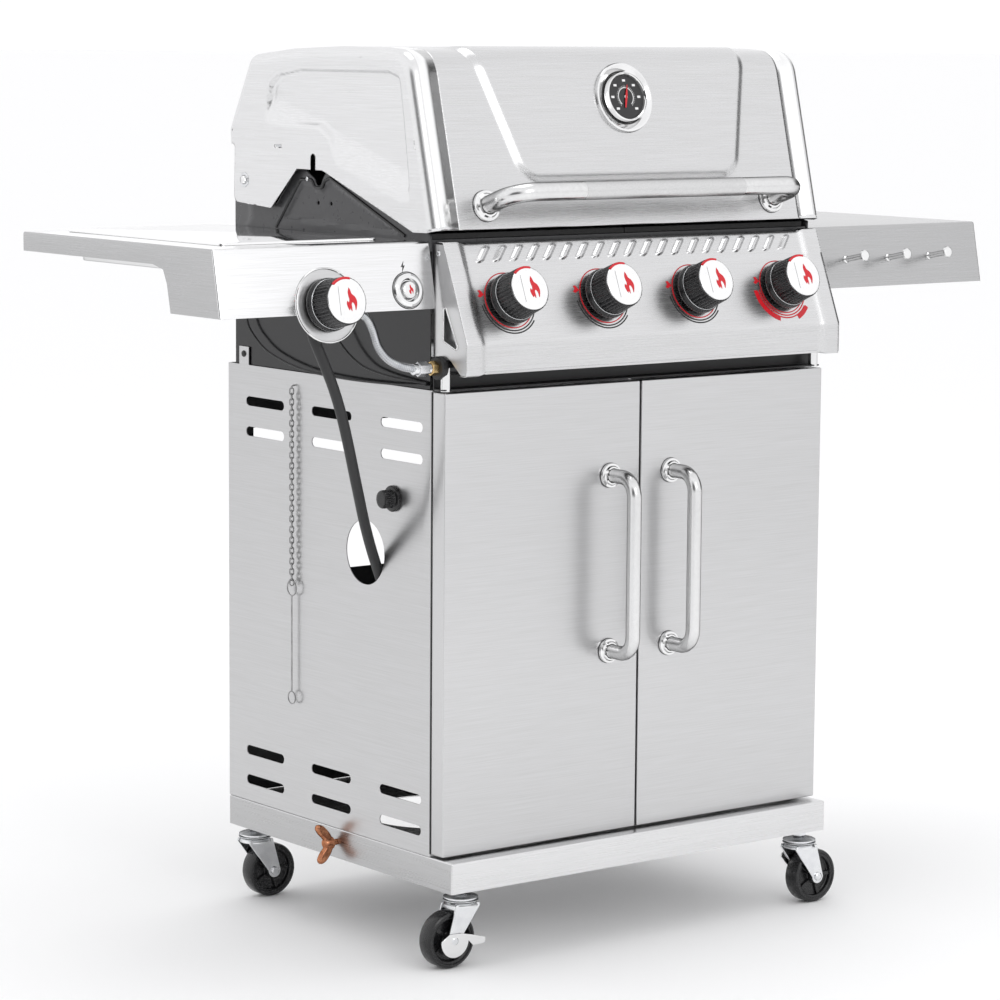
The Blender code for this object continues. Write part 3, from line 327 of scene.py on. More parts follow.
def rounded_each(corners, radii, steps):
    """A path through corners in y, z, each inner one rounded with its own radius."""
    points = [Vector((0, *corner)) for corner in corners]
    path = [points[0]]
    for i, radius in enumerate(radii, start=1):
        path += rounded([path[-1], points[i], points[i + 1]], radius, steps)[1:-1]
    return path + [points[-1]]


def rounded_loop(points, radius, steps=5):
    """A closed outline with rounded corners, as 2D points."""
    loop = [Vector((*p, 0)) for p in points]
    path = rounded([(loop[-1] + loop[0]) / 2] + loop + [(loop[-1] + loop[0]) / 2], radius, steps)
    return [(p.x, p.y) for p in path[:-1]]


def smooth_path(points, pieces):
    """Catmull-Rom points through a route."""
    points = [Vector(p) for p in points]
    ends = [2 * points[0] - points[1]] + points + [2 * points[-1] - points[-2]]
    path = []
    for a, b, c, d in zip(ends, ends[1:], ends[2:], ends[3:]):
        for i in range(pieces):
            t = i / pieces
            bend, twist = 2 * a - 5 * b + 4 * c - d, 3 * b - a - 3 * c + d
            path.append(0.5 * (2 * b + (c - a) * t + bend * t**2 + twist * t**3))
    return path + [points[-1]]


def tube(name, path, radius, resolution=5):
    """A round bar along a path, with closed ends."""
    curve = bpy.data.curves.new(name, "CURVE")
    curve.dimensions = "3D"
    curve.bevel_depth = radius
    curve.bevel_resolution = resolution
    curve.use_fill_caps = True
    spline = curve.splines.new("POLY")
    spline.points.add(len(path) - 1)
    for point, at in zip(spline.points, path):
        point.co = (*at, 1.0)
    return link(bpy.data.objects.new(name, curve))


def plate(name, outlines, thickness, place, edge=0.0003):
    """A flat plate with softened edges. Outlines inside others are holes. It stands on the plane of place."""
    curve = bpy.data.curves.new(name, "CURVE")
    curve.dimensions = "2D"
    curve.fill_mode = "BOTH"
    curve.extrude = max(thickness / 2 - edge, 0.00002)
    curve.bevel_depth = edge
    curve.bevel_resolution = 1
    curve.offset = -edge
    for outline in outlines:
        spline = curve.splines.new("POLY")
        spline.points.add(len(outline) - 1)
        for point, at in zip(spline.points, outline):
            point.co = (*at, 0.0, 1.0)
        spline.use_cyclic_u = True
    obj = link(bpy.data.objects.new(name, curve))
    obj.matrix_world = place @ Matrix.Translation((0, 0, thickness / 2))
    return obj


def lathe(name, profile, place, steps=48, wave=None, angle=30):
    """A profile of (radius, height) turned about the z of place. wave(height, angle) changes the radius."""
    bm = bmesh.new()
    rings = []
    for radius, height in profile:
        if radius < 1e-7:
            rings.append([bm.verts.new((0, 0, height))] * steps)
            continue
        ring = []
        for i in range(steps):
            turn = TAU * i / steps
            r = radius + (wave(height, turn) if wave else 0)
            ring.append(bm.verts.new((r * math.cos(turn), r * math.sin(turn), height)))
        rings.append(ring)
    for above, below in zip(rings, rings[1:]):
        for i in range(steps):
            corners = [above[i], above[i - 1], below[i - 1], below[i]]
            unique = list(dict.fromkeys(corners))
            if len(unique) > 2:
                bm.faces.new(unique)
    obj = mesh_object(name, bm, angle)
    obj.matrix_world = place
    return obj


def join_rings(bm, rings):
    for above, below in zip(rings, rings[1:]):
        for k in range(len(above)):
            bm.faces.new([above[k], above[k - 1], below[k - 1], below[k]])


def rings_along(name, path, radii, sides=16):
    """A tube whose radius changes from point to point along a path, for corrugated and tapered pieces."""
    bm = bmesh.new()
    side = None
    rings = []
    for i, (at, radius) in enumerate(zip(path, radii)):
        ahead = (path[min(i + 1, len(path) - 1)] - path[max(i - 1, 0)]).normalized()
        side = ahead.orthogonal() if side is None else side - ahead * side.dot(ahead)
        side.normalize()
        other = ahead.cross(side)
        turns = [TAU * k / sides for k in range(sides)]
        rings.append([bm.verts.new(at + (side * math.cos(t) + other * math.sin(t)) * radius) for t in turns])
    join_rings(bm, rings)
    bm.faces.new(rings[0])
    bm.faces.new(rings[-1])
    return mesh_object(name, bm, 60)


AXIS_PLANES = {
    "x": lambda t: basis((t, 0, 0), (0, 1, 0), (0, 0, 1)),
    "y": lambda t: basis((0, t, 0), (1, 0, 0), (0, 0, 1)),
    "z": lambda t: basis((0, 0, t), (1, 0, 0), (0, 1, 0)),
}
PRISM = {"x": lambda a, b, t: (t, a, b), "y": lambda a, b, t: (a, t, b), "z": lambda a, b, t: (a, b, t)}


def folded(name, outline, axis, low, high, keep, thickness, radius, segments=4):
    """Folded sheet: a prism's outer faces that keep() accepts, with rounded folds, thickened inwards."""
    bm = bmesh.new()
    face = bm.faces.new([bm.verts.new(PRISM[axis](a, b, low)) for a, b in outline])
    grown = bmesh.ops.extrude_face_region(bm, geom=[face])
    moved = [item for item in grown["geom"] if isinstance(item, bmesh.types.BMVert)]
    bmesh.ops.translate(bm, vec=PRISM[axis](0, 0, high - low), verts=moved)
    bmesh.ops.recalc_face_normals(bm, faces=bm.faces)
    bm.normal_update()
    dropped = [face for face in bm.faces if not keep(face.normal, face.calc_center_median())]
    bmesh.ops.delete(bm, geom=dropped, context="FACES")
    mesh = bpy.data.meshes.new(name)
    bm.to_mesh(mesh)
    bm.free()
    obj = link(bpy.data.objects.new(name, mesh))
    fold = obj.modifiers.new("folds", "BEVEL")
    fold.width, fold.segments = radius, segments
    fold.limit_method, fold.angle_limit = "ANGLE", math.radians(8)
    solid = obj.modifiers.new("sheet", "SOLIDIFY")
    solid.thickness, solid.offset, solid.use_even_offset = thickness, -1, True
    return obj


def cut_through(obj, name, outlines, axis, low, high):
    """Cuts prisms of these outlines out of a piece."""
    bm = bmesh.new()
    for outline in outlines:
        face = bm.faces.new([bm.verts.new(PRISM[axis](a, b, low)) for a, b in outline])
        grown = bmesh.ops.extrude_face_region(bm, geom=[face])
        moved = [item for item in grown["geom"] if isinstance(item, bmesh.types.BMVert)]
        bmesh.ops.translate(bm, vec=PRISM[axis](0, 0, high - low), verts=moved)
    cutter = mesh_object(name, bm)
    change = obj.modifiers.new(name, "BOOLEAN")
    change.operation, change.object = "DIFFERENCE", cutter
    applied(obj)
    bpy.data.objects.remove(cutter)
    return obj


def inside(points, outline):
    """Which of the points lie inside an outline."""
    points, outline = np.asarray(points), np.asarray(outline)
    found = np.zeros(len(points), bool)
    for (x0, y0), (x1, y1) in zip(outline, np.roll(outline, -1, axis=0)):
        crosses = (y0 > points[:, 1]) != (y1 > points[:, 1])
        height = np.where(y1 == y0, 1e-12, y1 - y0)
        found ^= crosses & (points[:, 0] < (x1 - x0) * (points[:, 1] - y0) / height + x0)
    return found


def relief(name, outline, holes, grids, place, thickness, angle=40):
    """A pressed sheet. outline and holes are flat loops, grids are (low, high, step) areas of extra points,
    and place(a, b) gives the pressed position of a flat point."""
    loops = [list(outline)] + [list(hole) for hole in holes]
    points, edges = [], []
    for loop in loops:
        first = len(points)
        points += loop
        edges += [(first + i, first + (i + 1) % len(loop)) for i in range(len(loop))]
    border = np.array(points)
    for low, high, step in grids:
        across = np.arange(low[0] + step / 2, high[0], step)
        up = np.arange(low[1] + step / 2, high[1], step)
        mesh_points = np.array([(a, b) for a in across for b in up])
        clear = inside(mesh_points, outline)
        for hole in holes:
            clear &= ~inside(mesh_points, hole)
        near = np.array([np.min(np.hypot(*(border - p).T)) for p in mesh_points[clear]])
        points += [tuple(p) for p in mesh_points[clear][near > step * 0.45]]
    flat, _, faces, *_ = delaunay_2d_cdt([Vector(p) for p in points], edges, [], 0, 1e-7)
    centres = [sum((flat[i] for i in face), Vector((0, 0))) / len(face) for face in faces]
    kept = inside(centres, outline)
    for hole in holes:
        kept &= ~inside(centres, hole)
    bm = bmesh.new()
    verts = [bm.verts.new(place(p.x, p.y)) for p in flat]
    for face, wanted in zip(faces, kept):
        if wanted:
            bm.faces.new([verts[i] for i in face])
    bmesh.ops.delete(bm, geom=[v for v in bm.verts if not v.link_faces], context="VERTS")
    obj = mesh_object(name, bm, angle)
    solid = obj.modifiers.new("sheet", "SOLIDIFY")
    solid.thickness, solid.offset = abs(thickness), -1 if thickness > 0 else 1
    return obj


def ease(value, width):
    """0 below 0, 1 above width, and a smooth step between."""
    t = min(max(value / width, 0.0), 1.0)
    return t * t * (3 - 2 * t)


def ramp_up(value, width):
    """Like ease, but straight over most of its width, as the wall of a pressing is."""
    t = min(max(value / width, 0.0), 1.0)
    return 0.5 * (t + t * t * (3 - 2 * t))


def round_corner(a, b, radius):
    """Distance inside two edges whose shared corner is rounded."""
    if a < radius and b < radius:
        return radius - math.hypot(max(radius - a, 0), max(radius - b, 0))
    return min(a, b)


def slope(top, foot):
    """Frame-maker for a face that slopes from top to foot: at(x, z) is a frame on the face."""
    down = Vector((0, foot[0] - top[0], foot[1] - top[1])).normalized()

    def at(x, z):
        y = top[0] + (foot[0] - top[0]) * (top[1] - z) / (top[1] - foot[1])
        return basis((x, y, z), (1, 0, 0), -down)

    return at


on_panel = slope(PANEL_TOP, PANEL_FOLD)
on_shelf = slope(SHELF_TOP, SHELF_FOOT)
on_hood = slope((-0.177, 1.14), HOOD_FOOT)


def lifted(place, height):
    return place @ Matrix.Translation((0, 0, height))


def soften(node, look, width=0.0004, segments=2):
    """A CAD node that stays in view: its edges are softened and it gets its finish."""
    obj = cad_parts[node]
    weld = obj.modifiers.new("weld", "WELD")
    weld.merge_threshold = 1e-5
    edge = obj.modifiers.new("edges", "BEVEL")
    edge.width, edge.segments, edge.limit_method = width, segments, "ANGLE"
    edge.angle_limit = math.radians(40)
    obj.data.materials.clear()
    obj.data.materials.append(LOOK[look])


def screw_head(name, place, radius, height, look, body):
    """A domed screw head with a cross recess."""
    profile = [(0, height), (radius * 0.5, height * 0.96), (radius * 0.85, height * 0.7),
               (radius, height * 0.3),
               (radius, 0), (0, 0)]
    seat(lathe(name, profile, place, 24), look, body)
    arm = radius * 0.5
    cross = rectangle(-arm, -arm / 5, arm, arm / 5)
    seat(plate(name + "_slot", [cross], height * 0.1, lifted(place, height * 0.93), 0.00005), "ink", body)


# ---------------------------------------------------------------- camera, light and stage

def build_studio():
    scene = bpy.context.scene
    lens = bpy.data.cameras.new("camera")
    lens.sensor_width = 36
    lens.lens = 36 * 3.5183
    yaw, pitch, roll = 0.65674, 0.13136, 0.00742
    ahead = Vector((math.sin(yaw) * math.cos(pitch), math.cos(yaw) * math.cos(pitch), -math.sin(pitch)))
    right = Vector((math.cos(yaw), -math.sin(yaw), 0))
    up = right.cross(ahead)
    camera = link(bpy.data.objects.new("camera", lens))
    turned_right = right * math.cos(roll) + up * math.sin(roll)
    eye = Vector((-2.9781, -3.7973, 1.2028)) + SHIFT
    camera.matrix_world = basis(eye, turned_right, turned_right.cross(ahead))
    scene.camera = camera
    scene.view_settings.view_transform = "Standard"

    world = bpy.data.worlds.new("studio")
    world.use_nodes = True
    scene.world = world
    nodes, links = world.node_tree.nodes, world.node_tree.links
    place = nodes.new("ShaderNodeTexCoord")
    split = nodes.new("ShaderNodeSeparateXYZ")
    ramp = nodes.new("ShaderNodeValToRGB")
    spread = nodes.new("ShaderNodeMapRange")
    spread.inputs["From Min"].default_value, spread.inputs["From Max"].default_value = -1, 1
    sky = ((0.0, 1.0), (0.49, 1.0), (0.52, 1.08), (0.8, 1.1), (0.92, 1.02), (1.0, 0.96))
    while len(ramp.color_ramp.elements) < len(sky):
        ramp.color_ramp.elements.new(1.0)
    for element, (height, tone) in zip(ramp.color_ramp.elements, sky):
        element.position = height
        element.color = (tone, tone, tone * 1.01, 1)
    links.new(place.outputs["Generated"], split.inputs["Vector"])
    links.new(split.outputs["Z"], spread.inputs["Value"])
    links.new(spread.outputs["Result"], ramp.inputs["Fac"])
    links.new(ramp.outputs["Color"], nodes["Background"].inputs["Color"])
    both = nodes.new("ShaderNodeMath")
    both.operation = "MULTIPLY"
    for socket, flag_at in enumerate(((-0.8, -0.58, 0.12), (0.99, 0.08, 0.1))):
        toward = nodes.new("ShaderNodeVectorMath")
        toward.operation = "DOT_PRODUCT"
        toward.inputs[1].default_value = Vector(flag_at).normalized()
        links.new(place.outputs["Generated"], toward.inputs[0])
        flag = nodes.new("ShaderNodeMapRange")
        flag.inputs["From Min"].default_value, flag.inputs["From Max"].default_value = 0.89, 0.97
        flag.inputs["To Min"].default_value, flag.inputs["To Max"].default_value = 1.0, 0.1
        links.new(toward.outputs["Value"], flag.inputs["Value"])
        links.new(flag.outputs["Result"], both.inputs[socket])
    links.new(both.outputs["Value"], nodes["Background"].inputs["Strength"])

    floor_mesh = bpy.data.meshes.new("floor")
    bm = bmesh.new()
    bmesh.ops.create_grid(bm, x_segments=1, y_segments=1, size=200)
    bm.to_mesh(floor_mesh)
    bm.free()
    floor = link(bpy.data.objects.new("floor", floor_mesh))
    floor.location.z = -0.0005
    floor_mesh.materials.append(new_material("floor", (0.98, 0.98, 0.98), 0.0, 0.9))

    for name, at, aim, size, power in (
        ("key", (-0.4, -3.6, 2.2), (0, 0, 0.8), 1.2, 14),
        ("top", (0.0, 0.2, 4.6), (0, 0, 0.8), 2.0, 22),
    ):
        light = bpy.data.lights.new(name, "AREA")
        light.shape, light.size, light.energy = "SQUARE", size, power
        lamp = link(bpy.data.objects.new(name, light))
        lamp.matrix_world = along(Vector(at), Vector(at) - Vector(aim))


# ---------------------------------------------------------------- hood

def hood_outline(steps=14):
    """The hood's profile in y, z, from the front foot over the roof to the rear foot."""
    corners = [HOOD_FOOT, (-0.1665, 1.1825), (-0.11, 1.1865), (-0.0053, 1.1872), (0.1054, 1.1835),
               (0.1985, 1.1745), (0.2518, 1.0751), (0.2496, 1.0532)]
    radii = [0.045, 0.05, 0.2, 0.2, 0.02, 0.012]
    return rounded_each(corners, radii, steps)


class Profile:
    """A path in y, z that can be walked by its length."""

    def __init__(self, path, outward):
        self.path = np.array([(p.y, p.z) for p in path])
        steps = np.hypot(*np.diff(self.path, axis=0).T)
        self.at = np.concatenate([[0], np.cumsum(steps)])
        self.length = self.at[-1]
        ahead = np.gradient(self.path, self.at, axis=0)
        ahead /= np.hypot(*ahead.T)[:, None]
        self.out = outward * np.stack([-ahead[:, 1], ahead[:, 0]], axis=1)

    def point(self, s, lift=0.0):
        """(y, z) at length s, lifted off the profile to its outer side."""
        y, z = (np.interp(s, self.at, self.path[:, k]) for k in (0, 1))
        out = [np.interp(s, self.at, self.out[:, k]) for k in (0, 1)]
        size = math.hypot(*out)
        return y + out[0] / size * lift, z + out[1] / size * lift


hood_profile = Profile(hood_outline(), 1)


def front_press(x, s):
    """Height of the trapezoid that is pressed out of the hood's front, rounded at its lower corners."""
    foot, top = 0.057, 0.235
    share = (s - foot) / (top - foot)
    left = (x - (-0.18 - 0.06 * share)) * 0.93
    right = (0.191 + 0.045 * share - x) * 0.95
    low = s - foot
    depth = min(round_corner(left, low, 0.03), round_corner(right, low, 0.03))
    return 0.005 * ramp_up(depth, 0.0125) * (1 - ease(s - 0.24, 0.05))


def build_hood():
    length = hood_profile.length
    half = HOOD_BAND_X

    def place(x, s):
        y, z = hood_profile.point(s, front_press(x, s))
        return (x, y, z)

    outline = [(-half, 0)] + [(x, 0) for x in np.arange(-half + 0.01, half, 0.01)] + [(half, 0)]
    outline += [(half, s) for s in np.arange(0.004, length - 0.002, 0.004)] + [(half, length)]
    outline += [(x, length) for x in np.arange(half - 0.01, -half, -0.01)] + [(-half, length)]
    outline += [(-half, s) for s in np.arange(0.004, length - 0.002, 0.004)[::-1]]
    grids = [((-half, 0), (half, 0.27), 0.0035), ((-half, 0.27), (half, length), 0.006)]
    shell = relief("hood_shell", outline, [], grids, place, HOOD_SHEET, 60)
    # The inner side takes the near-black inside look: painted shade.
    seat(shell, "hood", "hood", ("hood_panel",), "inside")
    for side in (-1, 1):
        build_hood_end(side)
    build_hood_handle()
    build_gauge()
    rear = rectangle(-0.32, 0.9448, 0.32, 1.044)
    seat(plate("firebox_rear_wall", [rear], 0.0012, AXIS_PLANES["y"](0.245), 0.0002), "black_paint",
         "stand")
    for side, word in SIDES:
        bolt = along((side * HOOD_X, *HINGE), (side, 0, 0))
        name = "hood_hinge_bolt_" + word
        washer = [(0, 0.001), (0.0095, 0.001), (0.01, 0.0005), (0.01, 0), (0, 0)]
        head = [(0, 0.005), (0.003, 0.0048), (0.0052, 0.0038), (0.006, 0.0022), (0.006, 0.001), (0, 0.001)]
        seat(lathe(name + "_washer", washer, bolt, 32), "zinc", "hood")
        seat(lathe(name, head, bolt, 32), "mirror", "hood")


class Pressing:
    """A flat outline as a soft-edged field: 1 well inside, 0 well outside, read with at(a, b)."""

    STEP = 0.0015

    def __init__(self, outline, wall):
        loop = np.array(outline)
        self.low = loop.min(axis=0) - 3 * wall
        self.count = np.ceil((loop.max(axis=0) + 3 * wall - self.low) / self.STEP).astype(int)
        a, b = (self.low[k] + self.STEP * np.arange(self.count[k]) for k in (0, 1))
        grid = np.stack(np.meshgrid(a, b, indexing="ij"), axis=-1).reshape(-1, 2)
        field = inside(grid, loop).astype(float).reshape(self.count)
        reach = np.arange(-12, 13)
        weights = np.exp(-0.5 * (reach * self.STEP / (wall / 2.6)) ** 2)
        weights /= weights.sum()
        for axis in (0, 1):
            field = np.apply_along_axis(np.convolve, axis, field, weights, "same")
        self.field = field

    def at(self, a, b):
        place = (np.array((a, b)) - self.low) / self.STEP
        if np.any(place < 0) or np.any(place >= self.count - 1):
            return 0.0
        i, j = place.astype(int)
        u, v = place - (i, j)
        f = self.field
        near_row = (1 - v) * f[i, j] + v * f[i, j + 1]
        far_row = (1 - v) * f[i + 1, j] + v * f[i + 1, j + 1]
        return float((1 - u) * near_row + u * far_row)


END_PANEL = Pressing(rounded_loop([(0.157, 1.085), (0.149, 1.135), (0.13, 1.148), (0.083, 1.1545),
                                   (-0.12, 1.1555), (-0.146, 1.148), (-0.156, 1.09), (-0.174, 0.97),
                                   (-0.06, 0.97), (-0.012, 1.03), (0.006, 1.07), (0.03, 1.084)], 0.012),
                     0.005)


def side_press(y, z):
    """Depth of the panel that is pressed into the hood's end, which fades out at the lower front."""
    fade = ease(z - 0.988 - 0.3 * max(y + 0.15, 0), 0.045)
    return 0.0085 * END_PANEL.at(y, z) * fade


def build_hood_end(side):
    node = "hood_end_" + SIDE_WORD[side]
    name = node + "_shell"
    curl = 0.014
    bm = bmesh.new()
    count = 150
    columns = [(HOOD_BAND_X + 0.0004, 0.0), (HOOD_X - curl - 0.004, 0.0)]
    columns += [
        (HOOD_X - curl + curl * math.sin(math.radians(a)), curl - curl * math.cos(math.radians(a)))
        for a in range(0, 91, 10)
    ]
    lengths = [hood_profile.length * i / count for i in range(count + 1)]
    grid = []
    for s in lengths:
        row = []
        for x, inset in columns:
            y, z = hood_profile.point(s, -inset)
            row.append(bm.verts.new((side * x, y, z)))
        grid.append(row)
    for a, b in zip(grid, grid[1:]):
        for k in range(len(columns) - 1):
            bm.faces.new([a[k], a[k + 1], b[k + 1], b[k]])
    band = mesh_object(name + "_band", bm, 60)
    inner = [hood_profile.point(s, -curl) for s in lengths]
    dip = arc((0.045, 1.04), 0.006, 0, 180, 10)
    notch = [(0.0831, 1.0251), (0.051, 1.0249)] + dip + [(0.039, 1.0247), (0.0228, 1.0246)]
    low = rounded_loop([(0.2316, 1.05), (0.2334, 0.976), (0.1446, 0.9705), (0.0831, 1.0251)], 0.009)
    foot = [(0.2316, 1.05)] + [p for p in low if p[1] < 1.0 and p[0] > 0.15]
    outline = inner + foot + [(0.1446, 0.9705)] + notch + [(-0.1798, 0.953)]
    outline = dense(outline, 0.005)
    slot = [(a + 0.1274, b + 1.0536) for a, b in stadium(0.017, 0.0045)]
    low_corner, high_corner = np.min(outline, axis=0), np.max(outline, axis=0)

    def place(y, z):
        return (side * (HOOD_X - side_press(y, z)), y, z)

    wall = relief(name + "_wall", outline, [slot], [(low_corner, high_corner, 0.0026)], place,
                  side * -HOOD_SHEET)
    wall.modifiers.clear()
    merged = bmesh.new()
    merged.from_mesh(band.data)
    merged.from_mesh(wall.data)
    bmesh.ops.remove_doubles(merged, verts=merged.verts, dist=2e-5)
    bmesh.ops.recalc_face_normals(merged, faces=merged.faces)
    for piece in (band, wall):
        bpy.data.objects.remove(piece)
    obj = mesh_object(name, merged, 60)
    solid = obj.modifiers.new("sheet", "SOLIDIFY")
    solid.thickness, solid.offset = HOOD_SHEET, -1
    # The inner side takes the near-black inside look: painted shade.
    seat(obj, "hood_end", "hood", (node,), "inside")
    # The band's faces get the brighter copy of the steel: a painted highlight.
    for look in ("hood_band", "inside"):
        obj.data.materials.append(LOOK[look])
    for face in obj.data.polygons:
        if abs(face.normal.x) < 0.92 and abs(face.center.x) < HOOD_X - 0.0008 and face.center.z > 0.96:
            at_wall = min(abs(face.center.x) - HOOD_BAND_X, HOOD_X - 0.0135 - abs(face.center.x))
            if at_wall > 0 or face.area > 2e-5:
                face.material_index = 2


def stadium(length, height, steps=8):
    reach = (length - height) / 2
    return arc((reach, 0), height / 2, -90, 90, steps) + arc((-reach, 0), height / 2, 90, 270, steps)


def dense(loop, step):
    """A closed loop with points added so that none are further apart than step."""
    result = []
    for a, b in zip(loop, loop[1:] + loop[:1]):
        a, b = Vector(a), Vector(b)
        pieces = max(1, math.ceil((b - a).length / step))
        result += [tuple(a.lerp(b, i / pieces)) for i in range(pieces)]
    return result


def flange(name, place, tube_radius, radius, body):
    """The round foot of a handle: a turned cup on a black gasket."""
    gasket = [(0, 0.0012), (radius * 0.99, 0.0012), (radius * 1.02, 0.0006), (radius * 1.0, 0), (0, 0)]
    cup = [(tube_radius, 0.0075), (radius * 0.72, 0.0072), (radius * 0.8, 0.005), (radius * 0.97, 0.0042),
           (radius, 0.003), (radius, 0.0012), (0, 0.0012)]
    seat(lathe(name + "_gasket", gasket, place, 40), "rubber", body)
    seat(lathe(name, cup, place, 40), "mirror", body)


def build_hood_handle():
    foot = on_hood(0, HANDLE_Z).translation
    out = on_hood(0, HANDLE_Z).col[2].to_3d()
    foot = foot + out * 0.0012
    arm = Vector((0, -math.cos(math.radians(18)), math.sin(math.radians(18))))
    bar = foot + arm * HANDLE_OUT
    side = SIDE * HANDLE_X
    path = rounded([foot - side, bar - side, bar + side, foot + side], 0.045, 16)
    seat(tube("hood_handle_tube", path, 0.012, 8), "tube", "hood", ("hood_handle",))
    grip = [bar + SIDE * x for x in np.linspace(-0.135, 0.135, 3)]
    seat(tube("hood_handle_grip", grip, 0.0122, 8), "grip", "hood")
    for at, word in SIDES:
        place = on_hood(at * HANDLE_X, HANDLE_Z)
        flange("hood_handle_foot_" + word, place, 0.0125, 0.0205, "hood")


def build_gauge():
    place = on_hood(*GAUGE)
    lift = 0.005
    dish = [(0.034, lift + 0.0002), (0.0356, lift + 0.0004), (0.0375, lift + 0.0016),
            (0.0435, lift + 0.0046),
            (0.046, lift + 0.0042), (0.047, lift + 0.0015), (0.047, 0), (0, 0)]
    bezel = [(0.0292, lift + 0.0062), (0.03, lift + 0.0092), (0.0312, lift + 0.0104),
             (0.0328, lift + 0.0094),
             (0.0336, lift + 0.005), (0.0336, lift), (0, lift)]
    face = [(0, lift + 0.006), (0.0296, lift + 0.006), (0.0296, lift), (0, lift)]
    # A black ring in the groove between the dish and the bezel: painted shade in the groove.
    groove = [ring_arc(0.035, 0.0022, 0, 359.9, 64)]
    seat(plate("gauge_groove_painted_shade", groove, 0.001, lifted(place, lift), 0.0002), "ink", "hood")
    seat(lathe("gauge_dish", dish, place, 72), "mirror", "hood", ("temperature_gauge",))
    seat(lathe("gauge_bezel", bezel, place, 72), "mirror", "hood")
    seat(lathe("gauge_face", face, place, 72), "dial", "hood")
    print_at = lifted(place, lift + 0.0061)
    for i in range(7):
        turn = math.radians(225 - 45 * i)
        block = rectangle(-0.0026, -0.0015, 0.0026, 0.0015)
        spot = print_at @ Matrix.Translation((0.0222 * math.cos(turn), 0.0222 * math.sin(turn), 0))
        seat(plate(f"gauge_mark_{i}", [block], 0.0002, spot, 0.00005), "white", "hood")
    scale = [ring_arc(0.0125, 0.0011, -50, 230)]
    seat(plate("gauge_scale", scale, 0.0002, print_at, 0.00005), "white", "hood")
    for i in range(29):
        turn = math.radians(230 - 10 * i)
        tick = rectangle(0.0135, -0.0002, 0.0155, 0.0002)
        spot = print_at @ Matrix.Rotation(turn, 4, "Z")
        seat(plate(f"gauge_tick_{i}", [tick], 0.0002, spot, 0.00005), "white", "hood")
    needle = [(-0.001, -0.015), (0.001, -0.015), (0.0018, 0.0), (0.0006, 0.015), (0, 0.0175),
              (-0.0006, 0.015),
              (-0.0018, 0.0)]
    spot = lifted(place, lift + 0.0072) @ Matrix.Rotation(math.radians(-14), 4, "Z")
    seat(plate("gauge_needle", [needle], 0.0005, spot, 0.0001), "red", "hood")
    hub = [(0, 0.0016), (0.0022, 0.0014), (0.0026, 0.0008), (0.0026, 0), (0, 0)]
    seat(lathe("gauge_hub", hub, lifted(place, lift + 0.006), 24), "mirror", "hood")


# ---------------------------------------------------------------- control panel and knobs

def panel_path():
    points = [(-0.2137, 0.9429), PANEL_TOP, PANEL_FOLD, (-0.277, 0.7748), (-0.263, 0.7748)]
    radii = [0.0025, 0.01, 0.0025]
    return rounded_each(points, radii, 8)


panel_profile = Profile(panel_path(), -1)
PANEL_X = 0.319
LOUVRES, LOUVRE_PITCH = 20, 0.0271


def panel_press(x, s):
    """Height of the panel's surface: borders proud at both ends, and slanted louvres along the top."""
    border = 0.0045 * ramp_up(abs(x) - 0.284, 0.0125)
    height = border - 0.0045
    along_top = s - 0.012 - 0.0165
    if abs(along_top) < 0.014 and abs(x) < 0.285:
        lean = 0.85
        shifted = x + along_top * lean
        index = round(shifted / LOUVRE_PITCH - 0.5)
        centre = (index + 0.5) * LOUVRE_PITCH
        if abs(index + 0.5) < LOUVRES / 2:
            across = (shifted - centre) * 0.76
            reach = max(abs(along_top) * 1.31 - 0.0095, 0)
            from_line = math.hypot(across, reach)
            height += 0.0034 * ramp_up(0.0056 - from_line, 0.0046)
    return height


def build_panel():
    length = panel_profile.length

    def place(x, s):
        y, z = panel_profile.point(s, panel_press(x, s))
        return (x, y, z)

    outline = dense(rectangle(-PANEL_X, 0, PANEL_X, length), 0.004)
    grids = [((-PANEL_X, 0.012), (PANEL_X, 0.046), 0.0012), ((-PANEL_X, 0.0), (PANEL_X, 0.012), 0.003),
             ((-PANEL_X, 0.046), (PANEL_X, length), 0.004)]
    shell = relief("control_panel_shell", outline, [], grids, place, 0.0012, 40)
    seat(shell, "panel", "stand", ("control_panel",))
    for side in (-1, 1):
        build_cheek(side)
    for number, x in enumerate(BURNER_X, start=1):
        face = on_panel(x, KNOB_Z)
        build_knob(f"knob_{number}", face, f"knob_{number}", f"knob_{number}")
        build_dial(f"dial_{number}", face, number == 4)


def build_cheek(side):
    """The bracket plate that closes each end of the panel, with its triangular window."""
    word = SIDE_WORD[side]
    outline = rounded_loop([(-0.2057, 0.9395), (-0.225, 0.9395), (-0.2758, 0.8169), (-0.2758, 0.776),
                            (-0.263, 0.7765), (-0.241, 0.794), (-0.2057, 0.794)], 0.003)
    window = rounded_loop([(-0.2279, 0.869), (-0.26, 0.8062), (-0.2272, 0.8182)], 0.003)
    place = AXIS_PLANES["x"](side * (PANEL_X - 0.0014) - 0.0006)
    seat(plate("panel_cheek_" + word, [outline, window], 0.0012, place), "steel_z", "stand")
    liner = rounded_loop([(-0.22, 0.88), (-0.27, 0.8), (-0.22, 0.812)], 0.003)
    back = AXIS_PLANES["x"](side * (PANEL_X - 0.008))
    seat(plate("panel_cheek_liner_" + word, [liner], 0.001, back), "steel_z", "stand")
    rim = [Vector((side * (PANEL_X - 0.0004), *p)) for p in window + window[:2]]
    seat(tube("panel_cheek_rim_" + word, rim, 0.0012, 3), "mirror", "stand")
    screw = along((side * (PANEL_X - 0.0008), -0.216, 0.928), (side, 0, 0))
    screw_head("panel_cheek_screw_" + word, screw, 0.004, 0.0022, "zinc", "stand")


